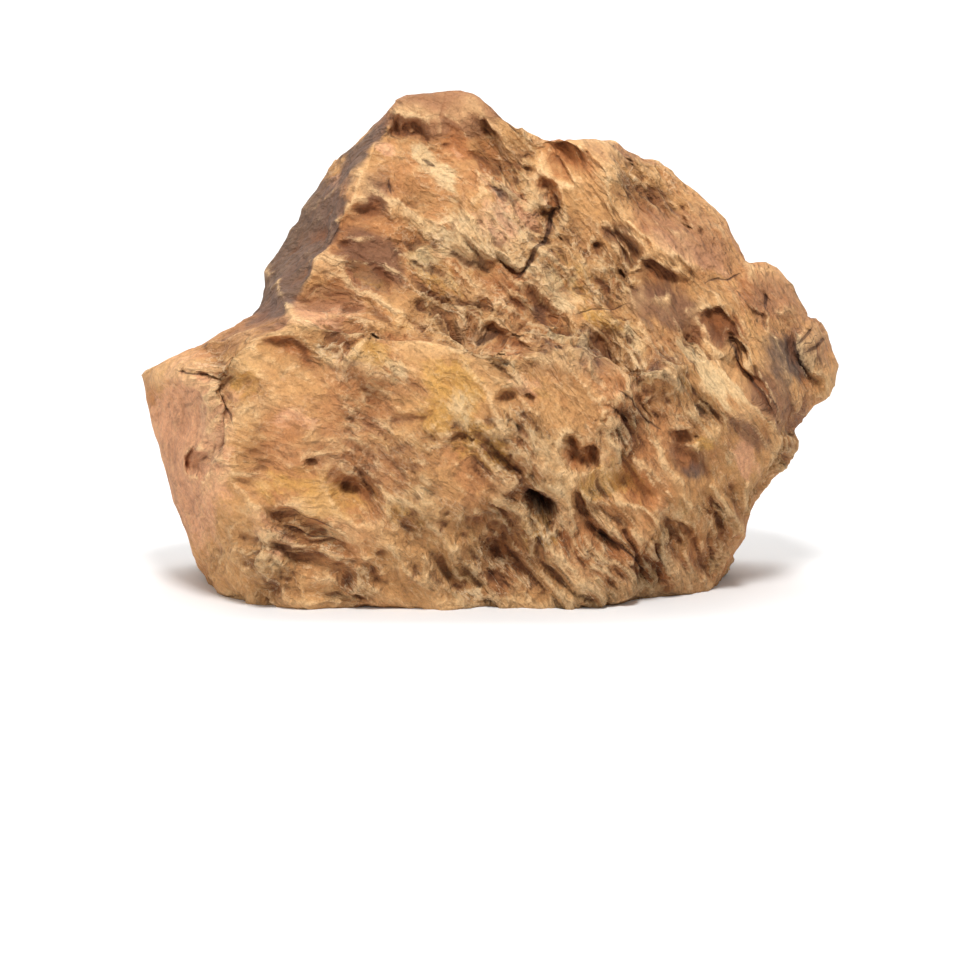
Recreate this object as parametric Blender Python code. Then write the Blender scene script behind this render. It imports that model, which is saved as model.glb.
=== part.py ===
"""An aquarium dragon stone: one broken, weathered boulder that rests on its flat foot.

The stone is drawn in millimetres as (across, depth, up), the way it is seen from a little above its
show face, and is then carried into the world along the lines of sight: +X to the right of the show
face, +Y away from it, +Z up, origin in the middle of the foot.
"""
import itertools
import math

import bmesh
import bpy
import numpy as np

MM = 0.001
NODE = "dragon_stone"

# Where the stone is seen from: how far, how high over level, and the point looked at
EYE_DISTANCE = 1030.0
EYE_RISE = math.radians(8)
AIM_ACROSS, AIM_UP = 2.0, 54.0
AIM_HEIGHT = 44.0

# Mesh: steps round the stone and from foot to crown, how much wider they are behind and under it, and how
# many finer steps each of them is the mean of, both ways
STEPS_AROUND, STEPS_UP = 112, 46
BACK_WIDENING, FOOT_WIDENING = 2.3, 5.0
FINER = 3

# The heart is the point that every distance below is measured from
HEART = np.array([0.0, 0.0, 100.0])

# Outline of the show face, (across, up), clockwise from the left tip
OUTLINE = np.array([
    (-156, 104), (-153, 108), (-142, 112), (-135, 115), (-130, 119), (-119, 124), (-103, 130),
    (-98, 137), (-96, 144), (-98, 151), (-94, 157), (-83, 174), (-82, 180), (-74, 188), (-70, 197),
    (-63, 204), (-52, 214), (-45, 223), (-40, 230), (-34, 233), (-22, 233), (-13, 234), (-3, 232),
    (2, 227), (11, 223), (20, 216), (29, 210), (34, 208), (39, 211), (50, 212), (59, 210), (76, 202),
    (81, 203), (91, 197), (104, 184), (112, 173), (115, 164), (119, 154), (129, 154), (134, 152),
    (140, 144), (144, 134), (147, 129), (153, 128), (157, 123), (159, 115), (163, 108), (159, 101),
    (155, 95), (149, 92), (144, 85), (137, 77), (141, 74), (139, 69), (133, 61), (130, 55), (119, 31),
    (112, 17), (107, 8), (100, -12), (-110, -16), (-126, 15), (-130, 22), (-134, 34), (-140, 45),
    (-143, 56), (-144, 65), (-145, 72), (-149, 81), (-152, 92), (-154, 99)], float)
SWELL_DEPTH = 128.0

# Broken faces: the way each one looks, and how far it lies from the heart
UPPER_FACES = {
    "brow": ((0.04, -0.94, 0.33), 60),
    "left_side": ((-0.754, -0.386, 0.531), 104.4),
    "right_plate": ((0.40, -0.78, 0.48), 88),
    "right_end": ((0.80, -0.58, 0.10), 135),
    "right_under": ((0.55, -0.70, -0.46), 112),
    "belly": ((0.05, -0.985, -0.10), 68),
    "back": ((0.10, 0.97, 0.20), 66),
    "back_left": ((-0.62, 0.75, 0.20), 96),
    "back_right": ((0.66, 0.72, 0.20), 115),
    "back_top": ((-0.15, 0.62, 0.77), 120),
}
LOWER_FACES = {
    "front": ((-0.05, -0.995, 0.03), 77),
    "front_under": ((0.10, -0.88, -0.46), 92),
    "shelf": ((0.12, -0.43, 0.895), 47),
    "left_facet": ((-0.86, -0.42, -0.25), 139),
    "left_top": ((-0.28, 0.30, 0.91), 60),
    "left_back": ((-0.70, 0.68, 0.20), 116),
    "right_under": ((0.62, -0.66, -0.42), 96),
    "rear": ((0.05, 0.98, 0.15), 62),
    "rear_under": ((0.05, 0.88, -0.42), 84),
}
EDGE_SHARPNESS = 55
JOIN_SHARPNESS = 36

# Soft hollows of the show face: across, up, length, width, turn in degrees, depth, steepness of the wall
HOLLOWS = {
    "saddle": (36, 201, 30, 17, -38, 6.3, 0.1),
    "saddle_dish": (40, 201, 18, 13, -30, 2.8, 0.4),
    "saddle_throat": (31, 187, 18, 9, -65, 4.9, 0.2),
    "hump_side": (4, 207, 32, 16, -58, 3.5, 0.2),
    "orange_dish": (-10, 208, 24, 13, -50, 2.8, 0.2),
    "brown_slope": (2, 152, 40, 20, -25, 4.2, 0.3),
    "brown_slope_foot": (14, 136, 34, 14, -20, 3.5, 0.2),
    "trough_foot": (-44, 145, 15, 11, -60, 3.5, 0.4),
    "plum_flat": (-45, 160, 24, 14, -20, 2.1, 0.3),
    "plum_hollow": (-48, 176, 20, 12, -50, 2.8, 0.2),
    "ochre_gully": (-55, 149, 22, 7, -38, 2.8, 0.3),
    "knob_dish": (13, 185, 16, 9, -20, 1.4, 0.3),
    "dot_bowl": (52, 160, 8, 7, 60, 3.5, 0.3),
    "great_hollow_tail": (92, 142, 24, 13, -30, 3.5, 0.2),
    "rough_bay": (78, 181, 40, 22, -28, 4.2, 0.2),
    "cave_right": (32, 117, 13, 8, -58, 4.2, 0.3),
    "cave_tail": (115, 112, 18, 7, -76, 5.6, 0.3),
    "end_gap": (122, 99, 44, 8, -54, 6.3, 0.2),
    "heart_bowl": (45, 68, 26, 21, -80, 3.5, 0.2),
    "brown_hollow": (47, 41, 20, 10, -68, 5.6, 0.3),
    "ochre_basin": (69, 54, 26, 15, -48, 5.6, 0.3),
    "plum_bay": (94, 66, 34, 17, -62, 4.2, 0.2),
    "olive_bay": (54, 112, 38, 24, -48, 3.5, 0.2),
    "olive_bay_foot": (57, 86, 16, 8, -15, 2.8, 0.2),
    "front_dimple": (12, 95, 9, 8, 0, 3.5, 0.4),
    "left_basin": (-56, 50, 28, 18, -52, 5.6, 0.3),
    "left_gutter": (-82, 37, 34, 8, -14, 4.2, 0.3),
    "olive_nook": (-108, 98, 24, 20, -40, 3.5, 0.3),
    "star_pit": (-129, 104, 8, 7, 0, 2.8, 0.2),
    "shelf_gully": (-85, 114, 36, 13, -28, 4.2, 0.2),
    "foot_hollow": (12, 20, 24, 13, -40, 4.9, 0.3),
    "low_gully": (58, 28, 46, 9, -28, 4.2, 0.2),
    "low_gully_right": (92, 30, 36, 10, -50, 4.2, 0.2),
    "low_gully_end": (108, 38, 26, 7, -58, 3.5, 0.2),
    "low_gully_left": (36, 12, 26, 8, -40, 3.5, 0.2),
}
LIP = 0.06
HOLLOW_LEAN = 0.3

# Sharp-edged hollows of the show face: outline, depth, width of the wall
CAVES = {
    "heart": (((38, 80), (35, 72), (38, 63), (46, 57), (53, 62), (55, 71), (52, 77), (46, 73),
              (43, 79)), 7.2, 4),
    "black_hole": (((20, 46), (25, 51), (31, 49), (36, 40), (33, 35), (25, 41)), 20, 5),
    "great_hollow": (((69, 152), (74, 157), (84, 154), (93, 148), (98, 142), (88, 139), (78, 142),
                     (71, 146)), 7.8, 7),
    "under_ridge": (((54, 174), (60, 174), (67, 167), (76, 159), (74, 155), (66, 158),
                    (58, 165)), 5.2, 5),
    "ledge_cave": (((-1, 127), (8, 127), (15, 124), (23, 122), (27, 114), (18, 111), (10, 115),
                   (3, 120)), 7.8, 5),
    "right_cave": (((97, 130), (103, 133), (113, 131), (119, 124), (118, 115), (112, 117), (104, 121),
                   (98, 124)), 7.8, 4),
    "crack_mouth": (((28, 180), (33, 184), (37, 181), (35, 174), (31, 170), (29, 174)), 7.2, 3.5),
    "triangle": (((-4, 206), (4, 205), (12, 202), (15, 195), (9, 194), (2, 197), (-4, 199)), 3.9, 3),
    "hump_lip_left": (((-44, 219), (-38, 220), (-37, 215), (-42, 213)), 3.2, 2.5),
    "hump_lip_right": (((-36, 220), (-30, 219), (-23, 213), (-23, 209), (-31, 212), (-36, 214)), 3.9, 3),
    "dark_trough": (((-68, 165), (-60, 166), (-48, 155), (-38, 143), (-43, 137), (-52, 148),
                    (-64, 158)), 4.5, 5),
    "facet_pit": (((-136, 67), (-130, 74), (-126, 67), (-124, 58), (-131, 57), (-135, 61)), 5.9, 3.5),
    "square_hollow": (((-41, 88), (-31, 89), (-20, 93), (-19, 84), (-27, 79), (-40, 80)), 3.9, 4),
    "star_crack": (((-127, 103), (-121, 101), (-115, 90), (-112, 83), (-117, 86), (-123, 95)), 5.2, 3),
    "basin_slit": (((-63, 55), (-60, 56), (-54, 48), (-55, 45), (-60, 49)), 3.9, 2.5),
}

# Crests of the show face: their line, height, and how wide they fall off above and below it
CRESTS = {
    "main_ridge": (((46, 207), (54, 199), (60, 184), (66, 172), (77, 163), (92, 154), (104, 147)), 8, 18, 4),
    "knob_edge": (((-3, 200), (10, 194), (21, 192), (27, 186), (31, 176)), 6, 3, 16),
    "knob_foot": (((-14, 171), (-3, 166), (8, 161), (18, 153)), 5, 14, 3),
    "flank_ridge": (((-76, 166), (-66, 155), (-55, 145), (-42, 136), (-28, 128)), 6, 4, 8),
    "hump_rim": (((-46, 220), (-38, 221), (-28, 220), (-20, 213), (-14, 214)), 3, 8, 2.5),
    "side_ridge": (((-92, 140), (-76, 153), (-74, 166), (-62, 178), (-50, 199), (-42, 220)), 4, 4, 8),
    "shelf_rim": (((-16, 125), (-4, 124), (4, 119), (12, 113), (17, 106), (22, 94)), 7, 2.5, 10),
    "cream_crest": (((62, 121), (72, 113), (84, 105), (96, 100), (107, 94)), 5, 7, 4),
    "band_edge": (((98, 120), (111, 115), (116, 106), (124, 94), (130, 82)), 6, 2.5, 16),
    "knife": (((62, 99), (70, 93), (78, 87), (84, 80)), 4, 2.5, 6),
    "heart_rim": (((57, 66), (53, 60), (46, 55), (38, 60), (33, 74)), 3, 3, 3),
    "heart_blade": (((44, 76), (46, 68), (50, 60)), 3, 2, 2),
    "wavy_crest": (((44, 49), (52, 44), (61, 43), (68, 46), (76, 41), (86, 33)), 5, 5, 3),
    "hole_flake": (((30, 58), (36, 51), (42, 43), (44, 32)), 6, 5, 3),
    "facet_ridge": (((-128, 106), (-125, 92), (-122, 78), (-118, 64), (-106, 49), (-97, 34)), 4, 6, 8),
    "left_knob": (((-112, 88), (-104, 86), (-96, 80)), 3, 3, 6),
    "middle_diagonal": (((30, 126), (36, 114), (45, 100), (54, 84), (62, 72), (76, 60), (92, 44)), 4, 5, 3),
    "left_diagonal": (((0, 84), (10, 76), (22, 66), (34, 55)), 4, 5, 3),
    "far_left_diagonal": (((-10, 112), (0, 98), (8, 84), (18, 74)), 3, 5, 3),
    "right_diagonal": (((74, 82), (80, 70), (88, 60), (96, 46), (104, 30)), 5, 6, 3),
    "end_diagonal": (((104, 56), (110, 43), (118, 30)), 4, 6, 3),
    "end_knob": (((118, 152), (128, 147), (136, 138), (142, 128)), 4, 8, 8),
    "low_crest": (((20, 40), (30, 28), (40, 14), (46, 4)), 4, 5, 3),
    "low_crest_right": (((60, 40), (72, 30), (84, 18), (92, 8)), 4, 5, 3),
}

# Ledges of the show face: their line, rise, and how wide it fades above and below; below comes forward
LEDGES = {
    "left_shelf": (((-110, 132), (-92, 136), (-72, 137), (-52, 134), (-34, 128)), 4, 10, 10),
    "end_block": (((112, 118), (116, 106), (124, 94), (133, 80)), 7, 24, 10),
    "upper_step": (((-62, 178), (-48, 166), (-30, 158), (-8, 148)), 4, 10, 14),
}
LEDGE_EDGE = 1.5

# How many times deeper all of these are worn
RELIEF = 1.25

# Scoops worn into the other sides: across, depth, up, radius, how deep
SCOOPS = {
    "back_high_left": (-34, 62, 186, 26, 9),
    "back_high_right": (42, 66, 184, 30, 10),
    "back_shoulder": (92, 62, 150, 28, 9),
    "back_middle": (4, 78, 132, 32, 11),
    "back_middle_left": (-66, 74, 124, 26, 9),
    "back_left": (-112, 56, 92, 24, 9),
    "back_right": (118, 56, 96, 24, 9),
    "back_low": (44, 72, 66, 32, 11),
    "back_low_left": (-38, 72, 62, 28, 10),
    "back_foot_left": (-88, 58, 34, 24, 8),
    "back_foot_right": (88, 50, 34, 22, 8),
    "left_end": (-152, 8, 86, 18, 6),
    "left_foot": (-132, 8, 34, 18, 6),
    "right_end": (152, 12, 100, 16, 6),
    "right_foot": (122, 8, 44, 18, 7),
    "crown": (8, 20, 224, 16, 6),
    "crown_right": (70, 26, 204, 20, 7),
    "left_shoulder": (-88, 22, 160, 20, 7),
}

# Patches of the show face worn smooth: across, up, length, width, turn, how much quieter
CALM = {
    "hump": (-20, 226, 50, 20, 0, 0.8),
    "orange_dish": (-9, 208, 24, 14, -50, 0.6),
    "knob": (12, 178, 34, 26, -30, 0.4),
    "saddle": (38, 200, 28, 20, -30, 0.8),
    "brown_slope": (0, 150, 40, 20, -25, 0.5),
    "plate": (88, 163, 50, 18, -28, 0.7),
    "plum": (84, 134, 36, 20, -20, 0.7),
    "band": (112, 104, 46, 22, -48, 0.8),
    "tan_patch": (122, 66, 24, 14, -70, 0.6),
    "left_facet": (-146, 76, 40, 84, -10, 0.85),
    "left_facet_low": (-130, 40, 40, 60, -20, 0.8),
    "shelf": (-80, 138, 50, 20, 0, 0.5),
    "flank": (-62, 146, 50, 12, -38, 0.5),
    "plum_bay": (94, 66, 30, 16, -60, 0.5),
    "basin": (69, 54, 26, 16, -48, 0.6),
    "side_strip": (-80, 165, 90, 30, 58, 0.6),
    "right_foot": (128, 36, 50, 30, 62, 0.5),
}

# Broken texture: size along the bedding, into the stone and across the bedding, and height
LUMP_SIZE, LUMP_HEIGHT = 45.0, 3.0
CHIP_SIZE, CHIP_HEIGHT = (44, 36, 26), 7.0
SCALLOP_SIZE, SCALLOP_HEIGHT = (22, 16, 8.5), 3.8
FOLD_SIZE, FOLD_HEIGHT = (34, 24, 16), 2.4
SCOOP, FACET = 1.6, 0.7
SCOOP_EDGE, CHIP_EDGE = 30, 40
BEDDING_WARP = 9.0
EDGE_SHIFT = 2.6
UNDERCUT = 0.25


def smooth(value, low, high):
    """A soft step from 0 at low to 1 at high."""
    t = np.clip((value - low) / (high - low), 0, 1)
    return t * t * (3 - 2 * t)


def even_turn(half_wide, half_deep, start, end, widening, count):
    """Cosine and sine along a rounded rectangle, in even steps that a function of the sine widens."""
    turn = np.linspace(start, end, 4001)
    cosine = np.sign(np.cos(turn)) * np.abs(np.cos(turn)) ** 0.4
    sine = np.sign(np.sin(turn)) * np.abs(np.sin(turn)) ** 0.4
    middle = 0.5 * (sine[1:] + sine[:-1])
    step = np.hypot(np.diff(cosine) * half_wide, np.diff(sine) * half_deep) / widening(middle)
    length = np.concatenate([[0], np.cumsum(step)])
    at = (np.arange(count) + 0.5) / count * length[-1]
    return np.interp(at, length, cosine), np.interp(at, length, sine)


def stone_directions(around, up):
    """Directions from the heart to a grid that wraps a rounded box, tapered upwards as the stone is."""
    half_wide, half_deep, half_high = 150, 74, 118
    wide, deep = even_turn(half_wide, half_deep, -1.5 * np.pi, 0.5 * np.pi,
                           lambda sine: np.where(sine > 0.3, BACK_WIDENING, 1), around)
    spread, rise = even_turn(half_deep, half_high, -0.5 * np.pi, 0.5 * np.pi,
                             lambda sine: np.where(sine < -0.95, FOOT_WIDENING, 1), up)
    spread, rise = spread[:, None], rise[:, None]
    narrow = 1 - 0.60 * smooth(rise, -0.1, 1.0)
    thin = 1 - 0.62 * smooth(rise, 0.1, 1.0)
    lean = 14 * smooth(rise, 0, 0.6) - 26 * smooth(rise, 0.5, 1.0)
    box = np.stack([half_wide * narrow * wide * spread + lean, half_deep * thin * deep * spread,
                    half_high * rise + 0 * wide], -1)
    return box / np.linalg.norm(box, axis=-1, keepdims=True)


def outline_reach(angle):
    """How far the outline lies from the heart at an angle: where that ray crosses an edge."""
    corners = OUTLINE - HEART[[0, 2]]
    angles = np.arctan2(corners[:, 1], corners[:, 0])
    order = np.argsort(angles)
    corners, angles = corners[order], angles[order]
    first = np.searchsorted(angles, (angle + np.pi) % (2 * np.pi) - np.pi, side="right") - 1
    start, end = corners[first], corners[(first + 1) % len(corners)]
    edge = end - start
    crossing = np.cos(angle) * edge[..., 1] - np.sin(angle) * edge[..., 0]
    return (start[..., 0] * edge[..., 1] - start[..., 1] * edge[..., 0]) / crossing


def faces_reach(direction, faces):
    """How far a block of flat broken faces reaches: to the nearest face, its edges a little rounded."""
    total = np.zeros(direction.shape[:-1])
    for look, distance in faces.values():
        look = np.array(look) / np.linalg.norm(look)
        total += np.clip(direction @ look / distance, 1e-3, None) ** EDGE_SHARPNESS
    return total ** (-1 / EDGE_SHARPNESS)


def block(direction):
    """Two broken blocks grown into one, held inside the outline, which swells to mid depth."""
    across, depth, up = np.moveaxis(direction, -1, 0)
    angle = np.arctan2(up, across)
    worn = sum(share * outline_reach(angle + turn) for share, turn in
               ((1, -0.12), (4, -0.06), (6, 0), (4, 0.06), (1, 0.12))) / 16
    rim = np.exp(-(depth / 0.15) ** 2)
    reach = worn + (outline_reach(angle) - worn) * rim
    hull = np.hypot(np.hypot(across, up) / reach, depth / SWELL_DEPTH)
    upper, lower = faces_reach(direction, UPPER_FACES), faces_reach(direction, LOWER_FACES)
    joined = (upper ** JOIN_SHARPNESS + lower ** JOIN_SHARPNESS) ** (1 / JOIN_SHARPNESS)
    radius = (joined ** -EDGE_SHARPNESS + hull ** EDGE_SHARPNESS) ** (-1 / EDGE_SHARPNESS)
    return direction * radius[..., None] + HEART


def outward(points):
    """Outward directions of the wrapped grid, square to its neighbours round and up."""
    round_it = np.roll(points, -1, 1) - np.roll(points, 1, 1)
    out = np.cross(round_it, np.gradient(points, axis=0))
    return out / np.linalg.norm(out, axis=-1, keepdims=True)


def ellipse(across, up, x, z, length, width, turn):
    """Distance from the middle of a turned ellipse, 1 on its edge."""
    cosine, sine = math.cos(math.radians(turn)), math.sin(math.radians(turn))
    along = (across - x) * cosine + (up - z) * sine
    aside = (up - z) * cosine - (across - x) * sine
    return np.hypot(along * 2 / length, aside * 2 / width)


def within(across, up, corners):
    """Distance to the closed outline through some corners, positive inside it."""
    corners = np.array(corners, float)
    nearest, odd = np.full(across.shape, np.inf), np.zeros(across.shape, bool)
    for start, way in zip(corners, np.roll(corners, -1, 0) - corners):
        aside_x, aside_z = across - start[0], up - start[1]
        share = np.clip((aside_x * way[0] + aside_z * way[1]) / (way @ way), 0, 1)
        nearest = np.minimum(nearest, np.hypot(aside_x - share * way[0], aside_z - share * way[1]))
        if way[1]:
            level = aside_z / way[1]
            odd ^= (level >= 0) & (level < 1) & (aside_x < level * way[0])
    return np.where(odd, nearest, -nearest)


def line(across, up, points):
    """Distance to a bent line, positive above it, and a weight that fades to 0 at its ends."""
    points = np.array(points, float)
    lengths = np.hypot(*np.diff(points, axis=0).T)
    nearest = np.full(across.shape, np.inf)
    side, place = np.zeros(across.shape), np.zeros(across.shape)
    for number, (start, end) in enumerate(zip(points[:-1], points[1:])):
        way = (end - start) / lengths[number]
        along = np.clip((across - start[0]) * way[0] + (up - start[1]) * way[1], 0, lengths[number])
        aside_x, aside_z = across - start[0] - along * way[0], up - start[1] - along * way[1]
        distance = np.hypot(aside_x, aside_z)
        closer = distance < nearest
        nearest = np.where(closer, distance, nearest)
        side = np.where(closer, way[0] * aside_z - way[1] * aside_x, side)
        place = np.where(closer, (lengths[:number].sum() + along) / lengths.sum(), place)
    return nearest * np.where(side < 0, -1, 1), smooth(place, 0, 0.18) * smooth(1 - place, 0, 0.18)


def show_relief(across, up):
    """How far the show face stands out towards the viewer: hollows, crests and ledges added up."""
    height = np.zeros(across.shape)
    for x, z, length, width, turn, depth, steepness in HOLLOWS.values():
        r = ellipse(across, up, x, z, length, width, turn)
        lean = HOLLOW_LEAN * np.clip((up - z) * 2 / width, -1, 1)
        lip = LIP * np.exp(-((r - 1.15) / 0.22) ** 2)
        height += depth * (lip - (1 + lean) * (1 - smooth(r, steepness, 1.12)))
    for corners, depth, wall in CAVES.values():
        height -= depth * smooth(within(across, up, corners), -1, wall)
    for points, rise, above, below in CRESTS.values():
        distance, fade = line(across, up, points)
        height += 0.9 * rise * fade * np.exp(-np.abs(distance) / np.where(distance > 0, above, below))
    for points, rise, above, below in LEDGES.values():
        distance, fade = line(across, up, points)
        fade = fade * np.exp(-np.abs(distance) / np.where(distance > 0, above, below))
        height -= 0.5 * rise * fade * np.tanh(distance / LEDGE_EDGE)
    return RELIEF * height


def scoop_depth(points):
    """Depth of the round hollows worn into the back, ends and top."""
    depth = np.zeros(points.shape[:-1])
    for x, y, z, radius, deep in SCOOPS.values():
        away = np.linalg.norm(points - [x, y, z], axis=-1) / radius
        depth += deep * (1 - smooth(away, 0.2, 1.0))
    return depth


def roughness_left(points):
    """How much of the fine relief the worn patches of the show face leave."""
    across, depth, up = np.moveaxis(points, -1, 0)
    left = np.ones(across.shape)
    for x, z, length, width, turn, amount in CALM.values():
        left *= 1 - amount * (1 - smooth(ellipse(across, up, x, z, length, width, turn), 0.6, 1.3))
    return 1 - (1 - left) * (1 - smooth(depth, 20, 50))


def scramble(cell, seed):
    """A whole number for each lattice cell, mixed from its three indices."""
    x, y, z = (cell[..., axis].astype(np.int64) for axis in range(3))
    mixed = (x * 73856093) ^ (y * 19349663) ^ (z * 83492791) ^ (seed * 265443576)
    mixed = (mixed ^ (mixed >> 13)) * 1274126177
    return (mixed ^ (mixed >> 16)) & 0x3FFFFFFF


def noise(points, seed):
    """Smooth noise from about -1 to 1: each corner of a unit lattice slopes its own way."""
    slopes = np.array([way for way in itertools.product((-1, 0, 1), repeat=3) if np.abs(way).sum() == 2])
    cell = np.floor(points)
    local = points - cell
    fade = local ** 3 * (local * (local * 6 - 15) + 10)
    total = np.zeros(points.shape[:-1])
    for corner in itertools.product((0, 1), repeat=3):
        slope = slopes[scramble(cell + corner, seed) % len(slopes)]
        share = np.prod(np.where(corner, fade, 1 - fade), -1)
        total += share * np.sum(slope * (local - corner), -1)
    return total * 1.1


def layered(points, octaves, seed):
    """Noise with finer and weaker layers of itself added."""
    layers = [noise(points * 2.03 ** k + 17.3 * k, seed + k) * 0.5 ** k for k in range(octaves)]
    return sum(layers) / sum(0.5 ** k for k in range(octaves))


def folded(points, octaves, seed):
    """Noise folded into sharp crests, each finer layer strongest where the one before is high."""
    total, norm, weight = 0, 0, 1.0
    for k in range(octaves):
        crest = np.clip(1 - np.abs(noise(points * 2.07 ** k + 9.1 * k, seed + k)) * 1.7, 0, None) ** 2
        crest = crest * weight
        weight = np.clip(crest * 1.8, 0, 1)
        total = total + crest * 0.55 ** k
        norm += 0.55 ** k
    return total / norm - 0.35


def chipped(points, seed, bowl, scooped=True):
    """Broken chips: every lattice cell holds one tilted scoop. The deepest one shows, which leaves sharp
    crests between scoops, or else the nearest one, its edge a small step."""
    base = np.floor(points)
    height, norm = np.zeros(points.shape[:-1]), np.zeros(points.shape[:-1])
    for offset in itertools.product((-1, 0, 1), repeat=3):
        place, plane = scramble(base + offset, seed), scramble(base + offset, seed + 77)
        middle = np.stack([place & 1023, (place >> 10) & 1023, (place >> 20) & 1023], -1) / 1023
        tilt = np.stack([plane & 1023, (plane >> 10) & 1023, (plane >> 20) & 1023], -1) / 1023 * 2 - 1
        away = points - (base + offset + middle)
        far = np.sum(away ** 2, -1)
        lift = ((plane >> 4) & 1023) / 1023 * 1.2 - 0.6 + np.sum(tilt * away, -1) + bowl * (far - 0.2)
        share = np.exp(-SCOOP_EDGE * lift if scooped else -CHIP_EDGE * np.sqrt(far))
        height += share * lift
        norm += share
    return height / norm


def three(points, seed):
    """Three independent noises, to push points about with."""
    return np.stack([layered(points, 2, seed + k) for k in range(3)], -1)


def bedding(points):
    """Coordinates along, into and across the bedding, which dips to the right and steepens that way."""
    x, y, z = np.moveaxis(points, -1, 0)
    across = 0.72 * (z + 0.95 * x + 0.003 * x ** 2) + 0.25 * y
    laid = np.stack([0.72 * (x - 0.95 * z), y, across], -1)
    return laid + BEDDING_WARP * three(points / 34, 5)


def weathered(points):
    """The block with everything that was broken off it, worn into it or left standing on it. Hollows of the
    show face also reach upwards, so that their roofs hang over."""
    out = outward(points)
    laid = bedding(points) + 1.3 * three(points / 9, 15)
    left = roughness_left(points) * (0.3 + 1.2 * smooth(layered(points / 36, 2, 61), -0.3, 0.4))
    left *= 1 - 0.6 * np.exp(-(points[..., 1] / 25) ** 2)
    height = LUMP_HEIGHT * layered(points / LUMP_SIZE, 2, 11)
    height += CHIP_HEIGHT * (0.3 + 0.7 * left) * chipped(laid / CHIP_SIZE, 21, SCOOP)
    height += left * SCALLOP_HEIGHT * chipped(laid / SCALLOP_SIZE, 22, FACET, False)
    height += left * FOLD_HEIGHT * folded(laid / FOLD_SIZE, 2, 31)
    height -= scoop_depth(points)
    worn = points + out * height[..., None]
    shift = EDGE_SHIFT * three(points / 17, 81)
    facing = smooth(-out[..., 1], 0.05, 0.45)
    relief = facing * show_relief(points[..., 0] + shift[..., 0], points[..., 2] + shift[..., 2])
    worn[..., 1] -= relief
    worn[..., 2] -= UNDERCUT * np.minimum(relief, 0)
    return worn


def averaged(points):
    """The mean of every patch of finer steps, which leaves out what is too small for the mesh."""
    return points.reshape(STEPS_UP, FINER, STEPS_AROUND, FINER, 3).mean((1, 3))


def seen(points):
    """Each drawn point carried into the world along its line of sight."""
    forward = np.array([0, math.cos(EYE_RISE), -math.sin(EYE_RISE)])
    upward = np.array([0, math.sin(EYE_RISE), math.cos(EYE_RISE)])
    eye = np.array([AIM_ACROSS, 0, AIM_HEIGHT]) - forward * EYE_DISTANCE
    across, depth, up = (points[..., axis, None] for axis in range(3))
    sight = forward * EYE_DISTANCE + upward * (up - AIM_UP) + np.array([1, 0, 0]) * (across - AIM_ACROSS)
    return eye + sight * (1 + depth / EYE_DISTANCE)


def stand(points):
    """The stone cut off flat at the ground, where it rests."""
    points[..., 2] = np.maximum(points[..., 2], 0)
    return points


def wrap(rings):
    """A closed mesh of rings one above the other, each end drawn together to one point."""
    shape = bmesh.new()
    loops = [[shape.verts.new(corner) for corner in ring * MM] for ring in rings]
    for lower, upper in zip(loops[:-1], loops[1:]):
        for k in range(len(lower)):
            shape.faces.new((lower[k - 1], lower[k], upper[k], upper[k - 1]))
    foot = shape.verts.new(rings[0].mean(0) * MM)
    crown = shape.verts.new(rings[-1].mean(0) * MM)
    for k in range(len(loops[0])):
        shape.faces.new((foot, loops[0][k], loops[0][k - 1]))
        shape.faces.new((crown, loops[-1][k - 1], loops[-1][k]))
    bmesh.ops.triangulate(shape, faces=shape.faces)
    mesh = bpy.data.meshes.new(NODE)
    shape.to_mesh(mesh)
    shape.free()
    return mesh


def clay_stone():
    """Ochre, dry, matt clay stone."""
    material = bpy.data.materials.new("ochre_clay_stone")
    material.use_nodes = True
    surface = material.node_tree.nodes["Principled BSDF"]
    surface.inputs["Base Color"].default_value = (0.50, 0.29, 0.14, 1)
    surface.inputs["Roughness"].default_value = 0.9
    surface.inputs["Metallic"].default_value = 0.0
    return material


def main():
    for thing in list(bpy.data.objects):
        bpy.data.objects.remove(thing)
    directions = stone_directions(FINER * STEPS_AROUND, FINER * STEPS_UP)
    corners = averaged(weathered(block(directions)))
    stone = bpy.data.objects.new(NODE, wrap(stand(seen(corners))))
    stone.data.materials.append(clay_stone())
    bpy.context.collection.objects.link(stone)


main()
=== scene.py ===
"""The look of an aquarium dragon stone: its weathered surface, its clay colours and a plain studio.

The stone is drawn in millimetres as (across, depth, up), the way it is seen from a little above its
show face, and is then carried into the world along the lines of sight.
"""
import itertools
import math

import bpy
import numpy as np
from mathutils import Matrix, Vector


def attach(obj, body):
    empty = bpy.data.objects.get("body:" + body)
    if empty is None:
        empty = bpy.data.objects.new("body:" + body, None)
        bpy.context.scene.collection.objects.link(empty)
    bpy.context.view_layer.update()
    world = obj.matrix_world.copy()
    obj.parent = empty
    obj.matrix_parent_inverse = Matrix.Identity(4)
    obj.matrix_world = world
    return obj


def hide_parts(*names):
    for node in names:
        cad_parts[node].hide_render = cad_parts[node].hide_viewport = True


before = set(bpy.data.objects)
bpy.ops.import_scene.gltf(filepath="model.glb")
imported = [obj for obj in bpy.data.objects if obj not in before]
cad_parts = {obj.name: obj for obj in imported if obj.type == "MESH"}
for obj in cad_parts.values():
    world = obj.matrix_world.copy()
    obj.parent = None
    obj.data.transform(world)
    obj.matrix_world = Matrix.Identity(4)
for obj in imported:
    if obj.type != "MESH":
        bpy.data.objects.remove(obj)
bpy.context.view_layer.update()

MM = 0.001

# Where the stone is seen from: how far, how high over level, and the point looked at
EYE_DISTANCE = 1030.0
EYE_RISE = math.radians(8)
AIM_ACROSS, AIM_UP = 2.0, 54.0
AIM_HEIGHT = 44.0

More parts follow.
